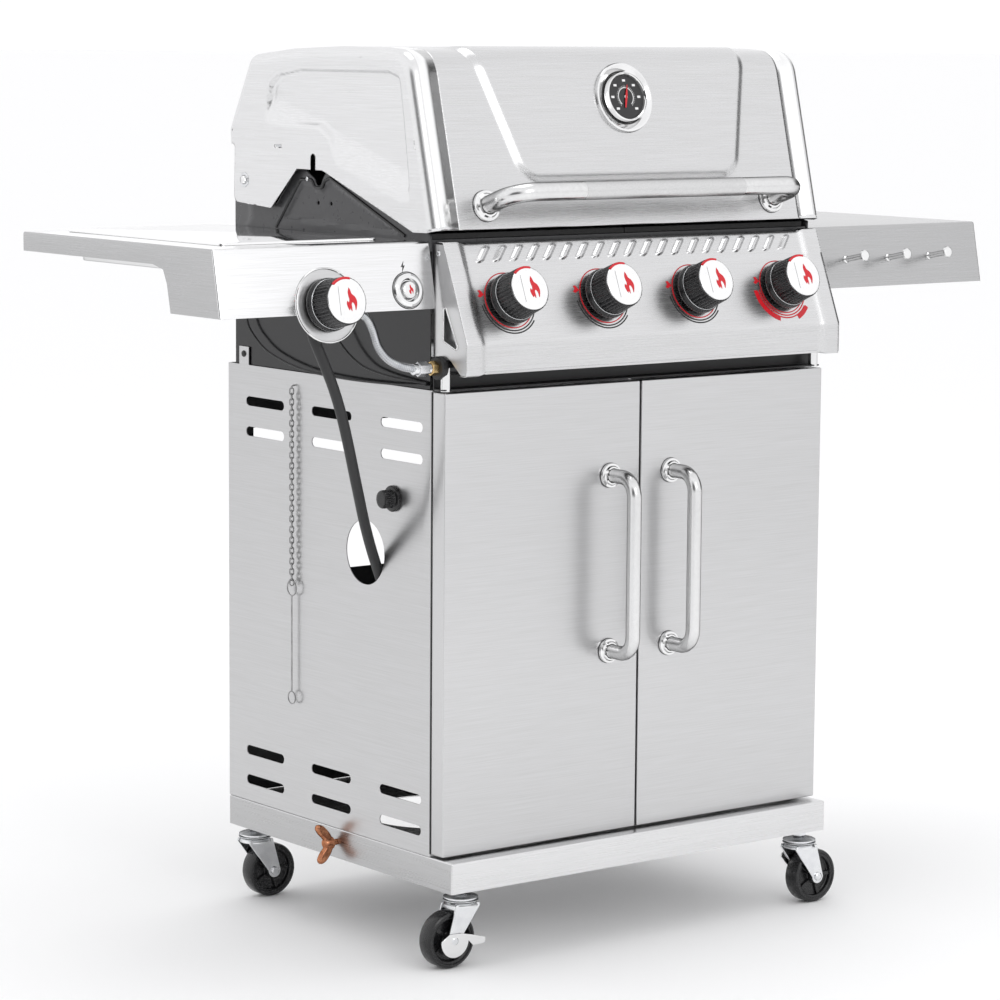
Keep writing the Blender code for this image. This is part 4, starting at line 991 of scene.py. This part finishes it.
FLAME = [
    (-0.1, 1.0), (0.02, 0.8), (0.1, 0.55), (0.22, 0.42), (0.36, 0.32), (0.5, 0.1), (0.56, -0.18),
    (0.5, -0.48), (0.36, -0.8), (0.33, -0.45), (0.22, -0.22), (0.08, -0.18), (0.02, -0.35), (0.04, -0.6),
    (0.0, -0.86), (-0.12, -0.62), (-0.2, -0.78), (-0.34, -0.55), (-0.42, -0.25), (-0.34, -0.02),
         (-0.22, -0.15),
    (-0.14, 0.08), (-0.2, 0.35), (-0.22, 0.65),
]


def flame(name, place, size, look, body):
    outline = [(p.x, p.y) for p in smooth_path([(a * size, b * size, 0) for a, b in FLAME + FLAME[:1]], 3)]
    seat(plate(name, [outline[:-1]], 0.0003, place, 0.00006), look, body)


KNOB_RIBS = 36


def rib_wave(height, turn):
    if not 0.0125 < height < 0.042:
        return 0.0
    return -0.0015 * (0.5 - 0.5 * math.cos(KNOB_RIBS * turn)) ** 1.3


def build_knob(name, place, node, body):
    """Ribbed black body on a smooth skirt, bright face with a red flame and a red arc at its rim."""
    skirt = [(0.031, 0.0122), (0.0332, 0.009), (0.0336, 0.006), (0.0336, 0.0035), (0.0325, 0.0025),
             (0, 0.0025)]
    grip = [(0.031, 0.0122), (0.0309, 0.0127)]
    grip += [(0.0309 - 0.0008 * i / 6, 0.0128 + 0.029 * i / 6) for i in range(7)]
    body_profile = [(0, 0.0425), (0.0288, 0.0425), (0.0296, 0.0421)] + grip[::-1] + skirt[1:]
    seat(lathe(name + "_body", body_profile, place, KNOB_RIBS * 6, rib_wave, 50), "plastic", body,
         (node,))
    bead = [(0.0312 + 0.0004 * math.cos(math.radians(a)), 0.0123 + 0.0004 * math.sin(math.radians(a)))
            for a in range(90, -91, -30)]
    seat(lathe(name + "_bead", bead, place, 72), "zinc", body)
    face = [(0, 0.0449), (0.0262, 0.0449), (0.0274, 0.0446), (0.0282, 0.0439), (0.0284, 0.043),
            (0.0284, 0.042),
            (0, 0.042)]
    seat(lathe(name + "_face", face, place, 72), "knob_face", body)
    top = lifted(place, 0.0449)
    flame(name + "_flame", top @ Matrix.Translation((0.005, 0.0, 0)), 0.016, "red", body)
    line = rectangle(-0.0003, -0.018, 0.0003, 0.018)
    seat(plate(name + "_pointer", [line], 0.0002, top @ Matrix.Translation((-0.012, 0, 0)), 0.00004),
         "dark_steel",
         body)
    path = [place @ Vector((a, b, 0.0437)) for a, b in arc((0, 0), 0.0279, 132, 76, 20)]
    seat(tube(name + "_arc", path, 0.0019, 3), "red", body)


def build_dial(name, face, loud):
    """The print round a knob: a red ring, a red pointer and two black arcs, or red bands on the last knob."""
    spot = lifted(face, -0.0044)
    dark = "red" if loud else "ink"
    pointer = [(-0.038, 0.0), (-0.044, 0.0052), (-0.0478, 0.004), (-0.045, 0.0), (-0.0478, -0.004),
               (-0.044, -0.0052)]
    turned = spot @ Matrix.Rotation(math.radians(-14), 4, "Z")
    marks = [("ring", ring_arc(0.0368, 0.0015, 0, 359.9, 72), "red", spot),
             ("arc_a", ring_arc(0.0405, 0.0018, 184, 332, 48), dark, spot),
             ("arc_b", ring_arc(0.044, 0.0018, 186, 320, 48), dark, spot),
             ("pointer", pointer, "red", turned)]
    if loud:
        marks += [("band_0", ring_arc(0.0475, 0.0056, 184, 252, 32), "red", spot),
                  ("band_1", ring_arc(0.0475, 0.0056, 292, 322, 32), "red", spot)]
    for word, outline, look, place in marks:
        seat(plate(f"{name}_{word}", [outline], 0.0002, place, 0.00004), look, "stand")


# ---------------------------------------------------------------- shelves

def shelf_outline():
    step = [(-0.066, 0.9174), (-0.09, 0.912), (-0.099, 0.894), (-0.107, SHELF_FOOT[1])]
    return [(0.255, 0.9427), (0.255, 0.9174)] + step + [SHELF_FOOT, SHELF_TOP]


def build_shelf(side):
    word = SIDE_WORD[side]
    low, high = sorted((side * 0.3238, side * 0.65))

    def keep(normal, centre):
        is_bottom = normal.z < -0.5
        is_step = -0.112 < centre.y < -0.06 and abs(normal.x) < 0.5 and normal.z < 0.5
        return normal.x * side > -0.9 and not is_bottom and not is_step

    shell = folded(f"shelf_{word}_shell", shelf_outline(), "x", low, high, keep, 0.0012, 0.003)
    if side > 0:
        # The right shelf takes a darker copy of the shelf steel: painted shade.
        seat(applied(shell), "shelf_right", "stand", ("shelf_right",))
        for number, x in enumerate((0.3914, 0.472, 0.5515), start=1):
            place = on_shelf(x, 0.897)
            hook = [(0, 0.0408), (0.006, 0.0406), (0.0074, 0.0396), (0.0076, 0.037), (0.006, 0.0352),
                    (0.004, 0.0342),
                    (0.0037, 0.03), (0.0037, 0.003), (0.0052, 0.0012), (0.0052, 0.0), (0, 0)]
            seat(lathe(f"hook_{number}", hook, place, 32), "mirror", "stand")
        return
    opening = rectangle(-0.595, -0.13, -0.375, 0.2)
    cut_through(shell, "bowl_opening", [rounded_loop(opening, 0.012)], "z", 0.93, 0.96)
    holes = [circle((SIDE_KNOB_X, KNOB_Z), 0.0065, 24), circle(IGNITER, 0.0119, 24)]
    cut_through(shell, "face_holes", holes, "y", -0.25, -0.19)
    seat(shell, "shelf_face_painted_highlight", "stand", ("shelf_left",))
    shell.data.materials.append(LOOK["shelf_ends_painted_shade"])
    shell.data.materials.append(LOOK["shelf_top"])
    # Painted light by face direction: the front keeps the lighter copy of the steel (painted highlight), the
    # ends get the darker copy (painted shade), and the top gets the polished top.
    for face in shell.data.polygons:
        if face.normal.z > 0.9:
            face.material_index = 2
        elif face.normal.y > -0.5:
            face.material_index = 1
    bowl = rounded_loop(rectangle(-0.5956, -0.1306, -0.3744, 0.2006), 0.012)
    pan = folded("side_burner_pan", bowl, "z", 0.906, 0.9425, lambda n, c: n.z < 0.5, 0.001, 0.004)
    seat(applied(pan), "mirror", "stand")
    build_side_knob()


def build_side_knob():
    face = on_shelf(SIDE_KNOB_X, KNOB_Z)
    bezel = [(0.034, 0.0014), (0.04, 0.0014), (0.0455, 0.0012), (0.0468, 0.0006), (0.047, -0.0002),
             (0.0462, -0.001), (0, -0.001)]
    plate_face = [(0, 0.0013)] + bezel
    seat(lathe("side_knob_bezel", plate_face, face, 72), "steel_x", "stand")
    lip = [(0.0452, 0.0012), (0.046, 0.0024), (0.047, 0.0024), (0.0476, 0.0014), (0.0472, 0.0)]
    seat(lathe("side_knob_lip", lip, face, 72), "mirror", "stand")
    build_knob("side_knob", lifted(face, 0.0018), "side_burner_knob", "side_knob")
    build_dial("side_dial", lifted(face, 0.005), False)
    button = on_shelf(*IGNITER)
    outer = [(0.0135, 0.002), (0.015, 0.0045), (0.0185, 0.005), (0.0212, 0.0038), (0.0222, 0.001),
             (0.0222, 0),
             (0.0135, 0)]
    seat(lathe("igniter_collar", outer + outer[:1], button, 56), "mirror", "stand")
    ring = [ring_arc(0.0234, 0.0013, 0, 359.9, 56)]
    seat(plate("igniter_ring", ring, 0.0003, button, 0.00005), "ink", "stand")
    cap = [(0, 0.0068), (0.0088, 0.0068), (0.0102, 0.0062), (0.0108, 0.005), (0.0108, -0.006), (0, -0.006)]
    seat(lathe("igniter_cap", cap, button, 48), "mirror", "igniter", ("igniter_button",))
    flame("igniter_flame", lifted(button, 0.0068), 0.0068, "red", "igniter")
    bolt = [(0.0022, 0.007), (-0.003, -0.0008), (-0.0002, -0.0004), (-0.0016, -0.0075), (0.0034, 0.0014),
            (0.0006, 0.001)]
    place = on_shelf(IGNITER[0] - 0.004, IGNITER[1] + 0.03)
    seat(plate("spark_mark", [bolt], 0.0003, place, 0.00005), "ink", "stand")


def build_side_lid():
    low, high = own_box("side_burner_lid")
    outline = rounded_loop(rectangle(low.x, low.y, high.x, high.y), 0.008)
    lid = folded("side_lid_shell", outline, "z", low.z, high.z, lambda n, c: n.z > -0.5, 0.0008, 0.0014)
    seat(applied(lid), "shelf_top", "side_lid", ("side_burner_lid",))


# ---------------------------------------------------------------- cabinet

def build_doors():
    for side, word in SIDES:
        low, high = own_box("door_" + word)
        outline = rectangle(low.x, low.z, high.x, high.z)
        door = folded(f"door_{word}_shell", outline, "y", low.y, high.y, lambda n, c: n.y < 0.5, 0.0012,
                      0.0022)
        body = word + "_door"
        seat(applied(door), "steel_x", body, ("door_" + word,))
        x, out, face = side * 0.052, -0.29, low.y - 0.0003
        line = [(x, face, 0.394), (x, out, 0.394), (x, out, 0.6285), (x, face, 0.6285)]
        grip = tube(f"door_{word}_handle_tube", rounded(line, 0.04, 14), 0.0095, 7)
        seat(grip, "tube", body, (f"door_{word}_handle",))
        for number, z in enumerate((0.394, 0.6285), start=1):
            place = along((x, low.y, z), (0, -1, 0))
            flange(f"door_{word}_foot_{number}", place, 0.01, 0.0165, body)
        pin = along((side * 0.316, -0.2285, 0.752), (0, 0, 1))
        bush = [(0, 0.033), (0.005, 0.0328), (0.0062, 0.0315), (0.0064, 0.008), (0.0064, 0.001), (0, 0.001)]
        seat(lathe(f"door_pin_{word}", bush, pin, 32), "mirror", body)


def build_cabinet():
    for side, word in SIDES:
        build_side_panel(side, word)
    tray_low, tray_high = own_box("base_tray")
    outline = rectangle(tray_low.x, tray_low.y, tray_high.x, tray_high.y)
    tray = folded("base_tray_shell", outline, "z", tray_low.z, tray_high.z, lambda n, c: n.z > -0.5, 0.0015,
                  0.003)
    cut_through(tray, "tank_opening", [circle((-0.155, 0), 0.105, 72)], "z", 0.13, 0.16)
    cut_through(tray, "tank_screw_opening", [circle(TANK_SCREW[1:], 0.0045, 12)], "x", -0.34, -0.31)
    seat(tray, "tray_front", "stand", ("base_tray",))
    tray.data.materials.append(LOOK["tray_ends_painted_shade"])
    # The faces that point sideways get the darker copy of the tray steel: painted shade.
    for face in tray.data.polygons:
        if abs(face.normal.x) > 0.9:
            face.material_index = 1
    # A thin black strip in the gap at the front edge of each side panel: painted shade in the door gap.
    for side, word in SIDES:
        gap_shade_strip = rectangle(-0.21315, 0.15, -0.2111, 0.751)
        flat = AXIS_PLANES["x"](min(side * 0.3238, side * 0.325))
        seat(plate("door_gap_painted_shade_" + word, [gap_shade_strip], 0.0012, flat, 0.0001), "rubber", "stand")
    for sx in (-1, 1):
        for sy in (-1, 1):
            corner = (sx * (tray_high.x - 0.002), sy * (tray_high.y - 0.002))
            far = (corner[0] - sx * 0.074, corner[1] - sy * 0.074)
            flat = [corner, (far[0], corner[1]), (far[0], far[1] + sy * 0.02), (far[0] + sx * 0.02, far[1]),
                    (corner[0], far[1])]
            name = f"gusset_{SIDE_WORD[sx]}_{'front' if sy < 0 else 'rear'}"
            seat(plate(name, [rounded_loop(flat, 0.004)], 0.003, AXIS_PLANES["z"](0.1056)), "steel_y",
                 "stand")
    for node, look in (("rear_panel", "black_paint"), ("front_crossbar", "black_paint"),
                       ("gas_manifold", "black_paint"),
                       ("grease_tray", "galvanised"), ("grease_cup", "galvanised"), ("firebox", "enamel"),
                       ("warming_rack", "zinc"), ("side_burner", "brass"), ("side_burner_grate", "iron"),
                       ("cooking_grate_left", "iron"), ("cooking_grate_right", "iron")):
        soften(node, look)
    for number in range(1, 5):
        soften(f"burner_{number}", "galvanised", 0.0003)
        soften(f"heat_tent_{number}", "steel_y", 0.0003)


def build_side_panel(side, word):
    low, high = own_box("side_panel_" + word)
    top = 0.7532
    tab = [(0.232, top), (0.232, high.z), (0.209, high.z), (0.209, top)]
    outline = [(low.y, low.z), (high.y, low.z), (high.y, top)] + tab + [(low.y, top)]
    outer, inner = side * SIDE_X, side * (SIDE_X - 0.018)

    def keep(normal, centre):
        return normal.x * side > 0.9 or abs(centre.y - low.y) < 1e-4 or abs(centre.y - high.y) < 1e-4

    panel = folded(f"side_panel_{word}_shell", outline, "x", *sorted((outer, inner)), keep, 0.0012, 0.002)
    slots = [[(a + y, b + z) for a, b in stadium(0.092, 0.013)]
             for y in (-0.147, 0.011, 0.169) for z in (0.704, 0.6625, 0.218, 0.1766)]
    if side < 0:
        slots += [circle((-0.067, 0.528), 0.043, 60), circle((-0.13, 0.606), 0.0133, 24)]
    cut_through(panel, f"side_slots_{word}", slots, "x",
                *sorted((outer + side * 0.01, inner + side * 0.004)))
    seat(panel, "steel_y", "stand", ("side_panel_" + word,))
    screw_head("side_tab_screw_" + word, along((outer, 0.2205, 0.768), (side, 0, 0)), 0.0045, 0.0025, "ink",
               "stand")


def build_firebox_plates():
    """The enamelled side plates, with a border that stands proud round a pressed-in middle."""
    dip = arc((0.045, 1.0115), 0.008, 180, 360, 10)
    outline = [(-0.205, 0.93), (0.245, 0.93), (0.245, 1.012), (0.237, 1.02), (0.18, 1.02), (0.172, 1.012),
               (0.16, 0.98), (0.145, 0.976), (0.088, 1.033)] + dip[::-1] + [(0.018, 1.034), (-0.16, 0.961),
               (-0.205, 0.952)]
    outline = dense(outline, 0.006)
    inner = [(0.127, 0.958), (0.085, 1.006), (0.06, 1.006), (0.052, 0.998), (0.04, 0.998), (0.032, 1.006),
             (0.018, 1.0105), (-0.14, 0.948)]
    holes = [circle((y, 0.981), 0.0026, 12) for y in (0.02, 0.05)]
    rim = np.array(dense(inner, 0.003))
    strap = [(0.145, 0.945), (0.0865, 1.011), (0.06, 1.011), (0.053, 1.001), (0.037, 1.001), (0.03, 1.011),
             (0.018, 1.015), (-0.15, 0.947)]

    def place_on(side):
        def place(y, z):
            gap = float(np.min(np.hypot(rim[:, 0] - y, rim[:, 1] - z)))
            within = bool(inside([(y, z)], inner)[0])
            deep = 0.003 * ease(gap, 0.004) if within else 0.0
            return (side * (0.3225 - deep), y, z)
        return place

    for side, word in SIDES:
        grids = [((-0.2, 0.94), (0.2, 1.02), 0.003)]
        obj = relief(f"firebox_plate_{word}_shell", outline, holes, grids, place_on(side), side * -0.0015,
                     30)
        seat(obj, "enamel", "stand", ("firebox_plate_" + word,))
        # Below the shelf the firebox side is a near-black plate, darker than the grey enamel above: a black
        # firebox, darkened further as painted shade under the shelf.
        foot = rectangle(-0.205, 0.7536, 0.245, 0.9297)
        flat = AXIS_PLANES["x"](min(side * 0.321, side * 0.3225))
        seat(plate(f"firebox_apron_painted_shade_{word}", [foot], 0.0015, flat, 0.0003), "black_gloss", "stand")
        bead = [Vector((side * 0.3227, *p)) for p in strap]
        seat(tube(f"firebox_bead_{word}", rounded(bead, 0.006, 6), 0.0022, 3), "black_gloss", "stand")
        bolt = along((side * 0.3225, 0.07, 1.012), (side, 0, 0))
        screw_head(f"spit_bracket_screw_{word}", bolt, 0.0035, 0.003, "zinc", "stand")


# ---------------------------------------------------------------- gas supply, wires and hose

def build_hose():
    points = [Vector(p) + SHIFT for p in smooth_path(HOSE_ROUTE, 3)]
    path = [p - SHIFT for p in points]
    hose = seat(tube("gas_hose", path, HOSE_R, 6), "rubber", "stand", ("lp_hose",))
    end = Vector(HOSE_ROUTE[-1]) - Vector((0, 0, 0.0003))
    place = Matrix.Translation(end)
    body_profile = [
        (0, 0), (0.008, 0), (0.0086, -0.001), (0.0086, -0.008), (0.0075, -0.009), (0.0085, -0.01),
                    (0.0085, -0.021),
        (0.018, -0.0235), (0.029, -0.029), (0.031, -0.033), (0.0312, -0.045), (0.0295, -0.049),
                    (0.016, -0.054),
        (0.012, -0.057), (0.012, -0.0695), (0, -0.0695),
    ]
    regulator = lathe("regulator_body", body_profile, place, 56)
    seat(regulator, "galvanised", "stand", ("gas_regulator",))
    wheel_profile = [(0, -0.0695), (0.0195, -0.0695), (0.021, -0.0715), (0.021, -0.0975), (0.0195, -0.1),
                     (0.013, -0.1), (0.012, -0.09), (0, -0.09)]
    wheel = lathe("regulator_hand_wheel", wheel_profile, place, 96,
                  lambda h, t: -0.0012 * (0.5 + 0.5 * math.cos(16 * t)) if -0.098 < h < -0.071 else 0.0)
    seat(wheel, "plastic", "stand")


def build_gas_line():
    route = [
        (-0.488, -0.185, 0.862), (-0.456, -0.19, 0.863), (-0.433, -0.195, 0.859), (-0.418, -0.198, 0.85),
        (-0.409, -0.2, 0.833), (-0.402, -0.202, 0.812), (-0.39, -0.207, 0.796), (-0.374, -0.214, 0.787),
        (-0.358, -0.22, 0.7835),
    ]
    path = smooth_path(route, 30)
    radii = [0.005 + 0.0009 * math.sin(TAU * i / 4) for i in range(len(path))]
    seat(rings_along("gas_line_corrugated", path, radii, 18), "zinc", "stand", ("gas_line",))
    low_y, low_z = -0.222, 0.783
    fittings = (
        ("gas_line_collar", -0.363, 0.008, 0.0072, 32, "zinc"),
        ("gas_line_nut", -0.356, 0.015, 0.0098, 6, "zinc"),
        ("gas_line_union", -0.341, 0.005, 0.007, 32, "zinc"),
        ("gas_line_union_nut", -0.336, 0.01, 0.0095, 6, "brass"),
        ("gas_line_grommet", -0.3262, 0.01, 0.015, 32, "rubber"),
    )
    for name, x, length, radius, sides, look in fittings:
        place = along((x, low_y, low_z), (1, 0, 0))
        profile = [(0, 0), (radius * 0.9, 0), (radius, radius * 0.1), (radius, length - radius * 0.1),
                   (radius * 0.9, length), (0, length)][::-1]
        seat(lathe(name, profile, place, sides), look, "stand")
    body = rounded_loop(rectangle(-0.5035, -0.198, -0.4795, -0.173), 0.003)
    block = folded("side_valve_body", body, "z", 0.8445, 0.88, lambda n, c: True, 0.001, 0.0012)
    seat(applied(block), "brass", "stand")
    for name, points in (
        ("igniter_wire_rear", [(-0.33, 0.208, 0.86), (-0.331, 0.2041, 0.816), (-0.332, 0.1823, 0.7932),
                               (-0.333, 0.1432, 0.7742), (-0.334, 0.0665, 0.759), (-0.333, -0.03, 0.7545),
                               (-0.332, -0.1368, 0.7562), (-0.326, -0.201, 0.76)]),
        ("igniter_wire_front", [(-0.342, 0.015, 0.87), (-0.34, -0.005, 0.826), (-0.337, -0.033, 0.796),
                                (-0.335, -0.068, 0.7763), (-0.334, -0.1079, 0.7679),
                                (-0.332, -0.1552, 0.7638),
                                (-0.326, -0.202, 0.762)]),
    ):
        seat(tube(name, smooth_path(points, 8), 0.0016, 3), "rubber", "stand")


# ---------------------------------------------------------------- small parts on the cabinet

def build_cabinet_details():
    place = along((-0.3256, -0.13, 0.606), (-1, 0, 0))
    cap = [(0, 0.02), (0.01, 0.02), (0.0114, 0.0192), (0.012, 0.0178), (0.012, 0.006), (0.0125, 0.0052),
           (0.016, 0.0045), (0.0172, 0.003), (0.0172, 0.0), (0.012, 0.0), (0.012, -0.03), (0, -0.03)]
    wave = lambda h, t: -0.0009 * (0.5 + 0.5 * math.cos(24 * t)) if 0.0061 < h < 0.019 else 0.0
    denser = []
    for a, b in zip(cap, cap[1:]):
        denser += [(a[0] + (b[0] - a[0]) * i / 3, a[1] + (b[1] - a[1]) * i / 3) for i in range(3)]
    seat(lathe("battery_cap_grip", denser + cap[-1:], place, 144, wave), "plastic", "battery_cap",
         ("battery_cap",))
    head = along(TANK_SCREW, (1, 0, 0))
    rod = [(0, 0.078), (0.003, 0.078), (0.004, 0.0765), (0.004, 0.0), (0, 0.0)]
    seat(lathe("tank_screw_rod", rod, head, 24), "copper", "tank_screw", ("tank_screw",))
    swept = [(-0.002, 0.003), (0.001, 0.011), (0.006, 0.018), (0.013, 0.0245), (0.02, 0.026),
             (0.0225, 0.0205),
             (0.0185, 0.013), (0.012, 0.006), (0.01, 0.001)]
    wing = [(p.x, p.y) for p in smooth_path([(a, b, 0) for a, b in swept], 5)]
    for turn in (1, -1):
        spin = basis((-0.3345, -0.002, 0.127), (-1, 0, 0), (0, 0.12 * turn, turn))
        name = "tank_screw_wing_" + ("upper" if turn > 0 else "lower")
        seat(plate(name, [wing], 0.0085, spin @ Matrix.Translation((0, 0, -0.00425)), 0.0022), "copper",
             "tank_screw")
    hub = [(0, 0.004), (0.006, 0.0035), (0.0075, 0.0), (0.008, -0.009), (0, -0.009)]
    seat(lathe("tank_screw_hub", hub, along(TANK_SCREW, (-1, 0, 0)), 32), "copper", "tank_screw")


def link_ring(name, place, length, width, wire, sides=8, steps=20):
    """One chain link: a wire bent into a long ring."""
    path = [place @ Vector((a, b, 0)) for a, b in stadium(length, width, steps // 2)]
    bm = bmesh.new()
    rings = []
    count = len(path)
    normal = place.col[2].to_3d()
    for i, at in enumerate(path):
        ahead = (path[(i + 1) % count] - path[i - 1]).normalized()
        other = ahead.cross(normal)
        turns = [TAU * k / sides for k in range(sides)]
        rings.append([bm.verts.new(at + (normal * math.cos(t) + other * math.sin(t)) * wire) for t in turns])
    join_rings(bm, rings[-1:] + rings)
    return mesh_object(name, bm, 60)


def build_lighting_rod():
    x, y = CHAIN_X, CHAIN_Y
    pitch, count = 0.0072, 37
    links = bmesh.new()
    for i in range(count):
        z = CHAIN_TOP - 0.004 - i * pitch
        right = (0, 0, 1)
        up = (0.7, 0.7, 0) if i % 2 else (0.7, -0.7, 0)
        one = link_ring(f"link_{i}", basis((x, y, z), right, up), 0.0096, 0.0052, 0.0009, 6, 14)
        links.from_mesh(one.data)
        bpy.data.objects.remove(one)
    seat(mesh_object("lighting_chain_links", links, 60), "dark_steel", "chain", ("lighting_chain",))
    hook = [Vector((x, y, 0.73)), Vector((x, y, 0.7335)), Vector((x + 0.003, y, 0.735)),
            Vector((-0.3245, y, 0.735))]
    seat(tube("lighting_hook", hook, 0.001, 3), "dark_steel", "stand")
    ring = link_ring("lighting_ring", basis((x, y, 0.46), (0, 1, 0), (0, 0, 1)), 0.021, 0.0209, 0.0009)
    seat(ring, "dark_steel", "rod")
    rod = tube("lighting_rod_wire", [Vector((x, y, 0.45)), Vector((x, y, 0.318))], 0.001, 3)
    seat(rod, "dark_steel", "rod", ("lighting_rod",))
    loop = link_ring("match_loop", basis((x, y, 0.3095), (0, 1, 0), (0, 0, 1)), 0.017, 0.0169, 0.0009)
    seat(loop, "dark_steel", "rod")


# ---------------------------------------------------------------- casters

def wheel_profile():
    half, rim = 0.012, WHEEL_R
    return [
        (0.0038, 0.0132), (0.0088, 0.0132), (0.0098, 0.0122), (0.0102, 0.0065), (0.0115, 0.0052),
            (0.0262, 0.0052),
        (0.0275, 0.006), (0.0285, 0.01), (0.0298, 0.0108), (0.0318, 0.0108), (0.0326, 0.0118),
            (rim - 0.003, half),
        (rim - 0.001, half - 0.0012), (rim, half - 0.0035),
    ]


def build_caster(name, x, y, trail_side):
    axle = Vector((x + trail_side * 0.022, y, WHEEL_R))
    profile = wheel_profile() + [(r, -h) for r, h in reversed(wheel_profile())]
    wheel = lathe(f"wheel_{name}", profile + profile[:1], along(axle, (0, 1, 0)), 72)
    seat(wheel, "plastic", "wheel_" + name, ("caster_wheel_" + name,))
    for face in (-1, 1):
        for i in range(5):
            spoke = [(0.0095, -0.0022), (0.028, -0.003), (0.028, 0.003), (0.0095, 0.0022)]
            turn = Matrix.Rotation(TAU * i / 5, 4, "Z")
            spot = along(axle, (0, face, 0)) @ turn @ Matrix.Translation((0, 0, 0.0048))
            word = "outer" if face < 0 else "inner"
            seat(plate(f"spoke_{name}_{word}_{i}", [spoke], 0.0036, spot, 0.0006), "plastic",
                 "wheel_" + name)
    build_fork(name, x, y, axle)
    if y < 0:
        build_brake(name, axle, trail_side)


def build_fork(name, x, y, axle):
    body = "fork_" + name
    lean = axle.x - x
    arms = []
    for face in (-1, 1):
        foot = arc((lean, WHEEL_R), 0.01, 180, 360, 12)
        outline = [(0.02, 0.08), (0.0185, 0.084), (-0.0185, 0.084), (-0.02, 0.08)] + foot
        place = basis((x, y + face * 0.0152, 0), (1, 0, 0), (0, 0, 1)) @ Matrix.Translation((0, 0, -0.0011))
        arms.append(plate(f"fork_arm_{name}_{'outer' if face < 0 else 'inner'}", [outline], 0.0022, place,
                          0.0005))
    crown = [(0, 0.0865), (0.014, 0.0865), (0.02, 0.085), (0.0225, 0.082), (0.0225, 0.08), (0, 0.08)]
    crown_obj = lathe("fork_crown_" + name, crown, Matrix.Translation((x, y, 0)), 48)
    seat(crown_obj, "zinc", body, ("caster_fork_" + name,))
    for arm in arms:
        seat(arm, "zinc", body)
    race = [(0, 0.095), (0.01, 0.095), (0.015, 0.0938), (0.021, 0.0925), (0.0228, 0.0915), (0.0228, 0.09),
            (0.02, 0.0893), (0.02, 0.0884), (0.0232, 0.0878), (0.0232, 0.087), (0, 0.087)]
    seat(lathe("bearing_" + name, race, Matrix.Translation((x, y, 0)), 48), "zinc", body)
    stem = [(0, 0.1052)]
    for i in range(14):
        z = 0.105 - i * 0.0007
        stem.append((0.0052 if i % 2 else 0.0046, z))
    stem += [(0.0052, 0.095), (0, 0.095)]
    seat(lathe("stem_" + name, stem, Matrix.Translation((x, y, 0)), 24), "zinc", body)
    nut = [(0, 0.103), (0.0085, 0.103), (0.0095, 0.102), (0.0095, 0.0972), (0.0085, 0.0962), (0, 0.0962)]
    seat(lathe("stem_nut_" + name, nut, Matrix.Translation((x, y, 0)), 6, angle=20), "zinc", body)
    for face in (-1, 1):
        place = along(axle + Vector((0, face * 0.0162, 0)), (0, face, 0))
        head = [(0, 0.0032), (0.004, 0.003), (0.0058, 0.0018), (0.006, 0.0), (0, 0)]
        word = "outer" if face < 0 else "inner"
        seat(lathe(f"axle_head_{name}_{word}", head, place, 32), "zinc", body)


def build_brake(name, axle, trail_side):
    """Pressed-steel pedal on the axle: a half disc with a bent tail."""
    outer = trail_side
    raised = math.radians(-5 if trail_side < 0 else 40)
    dish = arc((0, 0), 0.022, 180, 360, 20)
    tail = [(0.03, -0.007), (0.048, -0.005), (0.05, 0.0), (0.048, 0.004), (0.024, 0.008), (0.01, 0.01),
            (-0.01, 0.009)]
    outline = dish + tail
    bore = arc((0, 0), 0.0038, 0, 345, 23)
    right = SIDE * -outer * math.cos(raised) + UP * math.sin(raised)
    normal = Vector((0, outer, 0))
    up = normal.cross(right)
    place = basis(axle + normal * 0.0166, right, up)
    body = "brake_" + name
    seat(plate("brake_pedal_" + name, [outline, bore], 0.0019, place, 0.0005), "mirror", body,
         ("brake_lever_" + name,))


# x and y of each swivel axis, and the side to which its wheel trails
CASTERS = {"front_left": (-0.2835, -0.224, -1), "front_right": (0.2985, -0.238, 1),
           "rear_left": (-0.2975, 0.2363, 1), "rear_right": (0.2985, 0.2363, -1)}

build_studio()
build_hose()
build_hood()
build_panel()
build_shelf(-1)
build_shelf(1)
build_side_lid()
build_doors()
build_cabinet()
build_firebox_plates()
build_gas_line()
build_cabinet_details()
build_lighting_rod()
for caster, spot in CASTERS.items():
    build_caster(caster, *spot)

bpy.context.view_layer.update()
